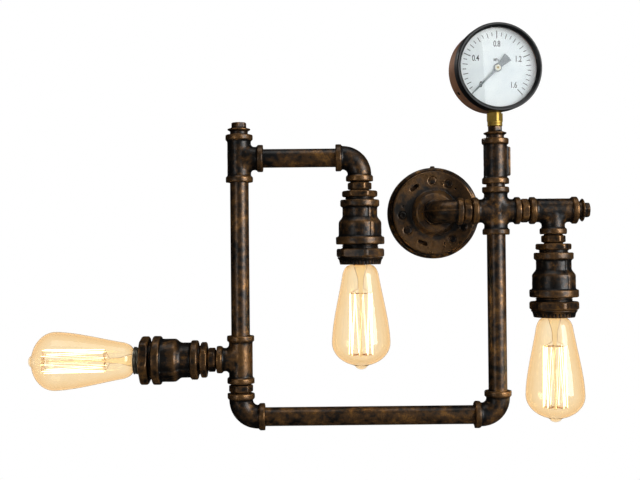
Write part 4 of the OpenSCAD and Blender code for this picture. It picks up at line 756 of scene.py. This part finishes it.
# Studio: pale floor well below the lamp and a white surround, soft lights on the right in front, on the
# left and above, a narrow spot on the side of the gauge, and the camera where the picture was taken.
bpy.ops.object.select_all(action="DESELECT")
bpy.ops.mesh.primitive_plane_add(size=12, location=(0, 0, -0.45))
floor = bpy.context.object
floor.name = "floor"
floor_white = speckled("pale_floor", (244, 244, 244), (238, 238, 238), 0.05, 0.7)
tree = floor_white.node_tree
seen = add(tree, "LightPath").outputs
straight = sums(tree, "MAXIMUM", seen["Is Camera Ray"], seen["Is Transmission Ray"])
shader = tree.nodes["Principled BSDF"]
tree.links.new(blend(tree, straight, (0, 0, 0, 1), (1, 1, 1, 1)), shader.inputs["Emission Color"])
shader.inputs["Emission Strength"].default_value = 1.0
pale = shader.inputs["Base Color"].links[0].from_socket
dim = blend(tree, seen["Is Glossy Ray"], pale, tint(70, 70, 70))
tree.links.new(blend(tree, straight, dim, (0, 0, 0, 1)), shader.inputs["Base Color"])
shader.inputs["Specular IOR Level"].default_value = 0.0
dress(floor, floor_white)


def studio_light(name, kind, place, aim, power):
    """Light at a place, in metres, turned to what it is aimed at."""
    light = bpy.data.lights.new(name, kind)
    light.energy = power
    lamp = bpy.data.objects.new(name, light)
    bpy.context.collection.objects.link(lamp)
    lamp.location = place
    lamp.rotation_euler = (Vector(aim) - Vector(place)).to_track_quat("-Z", "Y").to_euler()
    return light


def softbox(name, place, aim, width, height, power):
    light = studio_light(name, "AREA", place, aim, power)
    light.shape = "RECTANGLE"
    light.size, light.size_y = width, height


lamp_middle = (-0.1, -0.05, -0.05)
softbox("key", (1.62, -1.42, 0.35), lamp_middle, 1.0, 1.4, 36)
softbox("wing", (1.112, -1.578, 0.45), lamp_middle, 0.5, 1.5, 4.5)
softbox("strip", (-1.15, -1.35, -0.3), lamp_middle, 0.2, 1.2, 4)
softbox("top", (-0.1, -0.3, 1.5), (-0.1, 0, 0), 1.4, 0.8, 5)
snoot = studio_light("snoot", "SPOT", (-0.45, 0.3, 0.4), (0.03, -0.06, 0.165), 6.5)
snoot.spot_size, snoot.spot_blend, snoot.shadow_soft_size = radians(15), 0.6, 0.08

world = bpy.data.worlds.new("surround")
bpy.context.scene.world = world
world.use_nodes = True
sky = world.node_tree
seen = add(sky, "LightPath").outputs
straight = sums(sky, "MAXIMUM", seen["Is Camera Ray"], seen["Is Transmission Ray"])
around = add(sky, "MapRange", {"Value": seen["Is Diffuse Ray"], "To Min": 0.02, "To Max": 0.06}).outputs[0]
strength = sums(sky, "MAXIMUM", straight, around)
sky.links.new(strength, sky.nodes["Background"].inputs["Strength"])
sky.nodes["Background"].inputs["Color"].default_value = (1, 1, 1, 1)

camera = bpy.data.objects.new("camera", bpy.data.cameras.new("camera"))
bpy.context.collection.objects.link(camera)
focal_pixels, picture_pixels, sensor = 1008.254, 640, 36
yaw, pitch, roll = -0.303, 0.723, -0.548
camera.data.lens = focal_pixels * sensor / picture_pixels
camera.data.clip_start = 0.01
aimed = Matrix.Rotation(radians(yaw), 4, "Z") @ Matrix.Rotation(radians(90 + pitch), 4, "X")
camera.matrix_world = at(-140.23, -1200.87, -45.35) @ aimed @ Matrix.Rotation(radians(roll), 4, "Z")
bpy.context.scene.camera = camera
bpy.context.scene.view_settings.view_transform = "Standard"
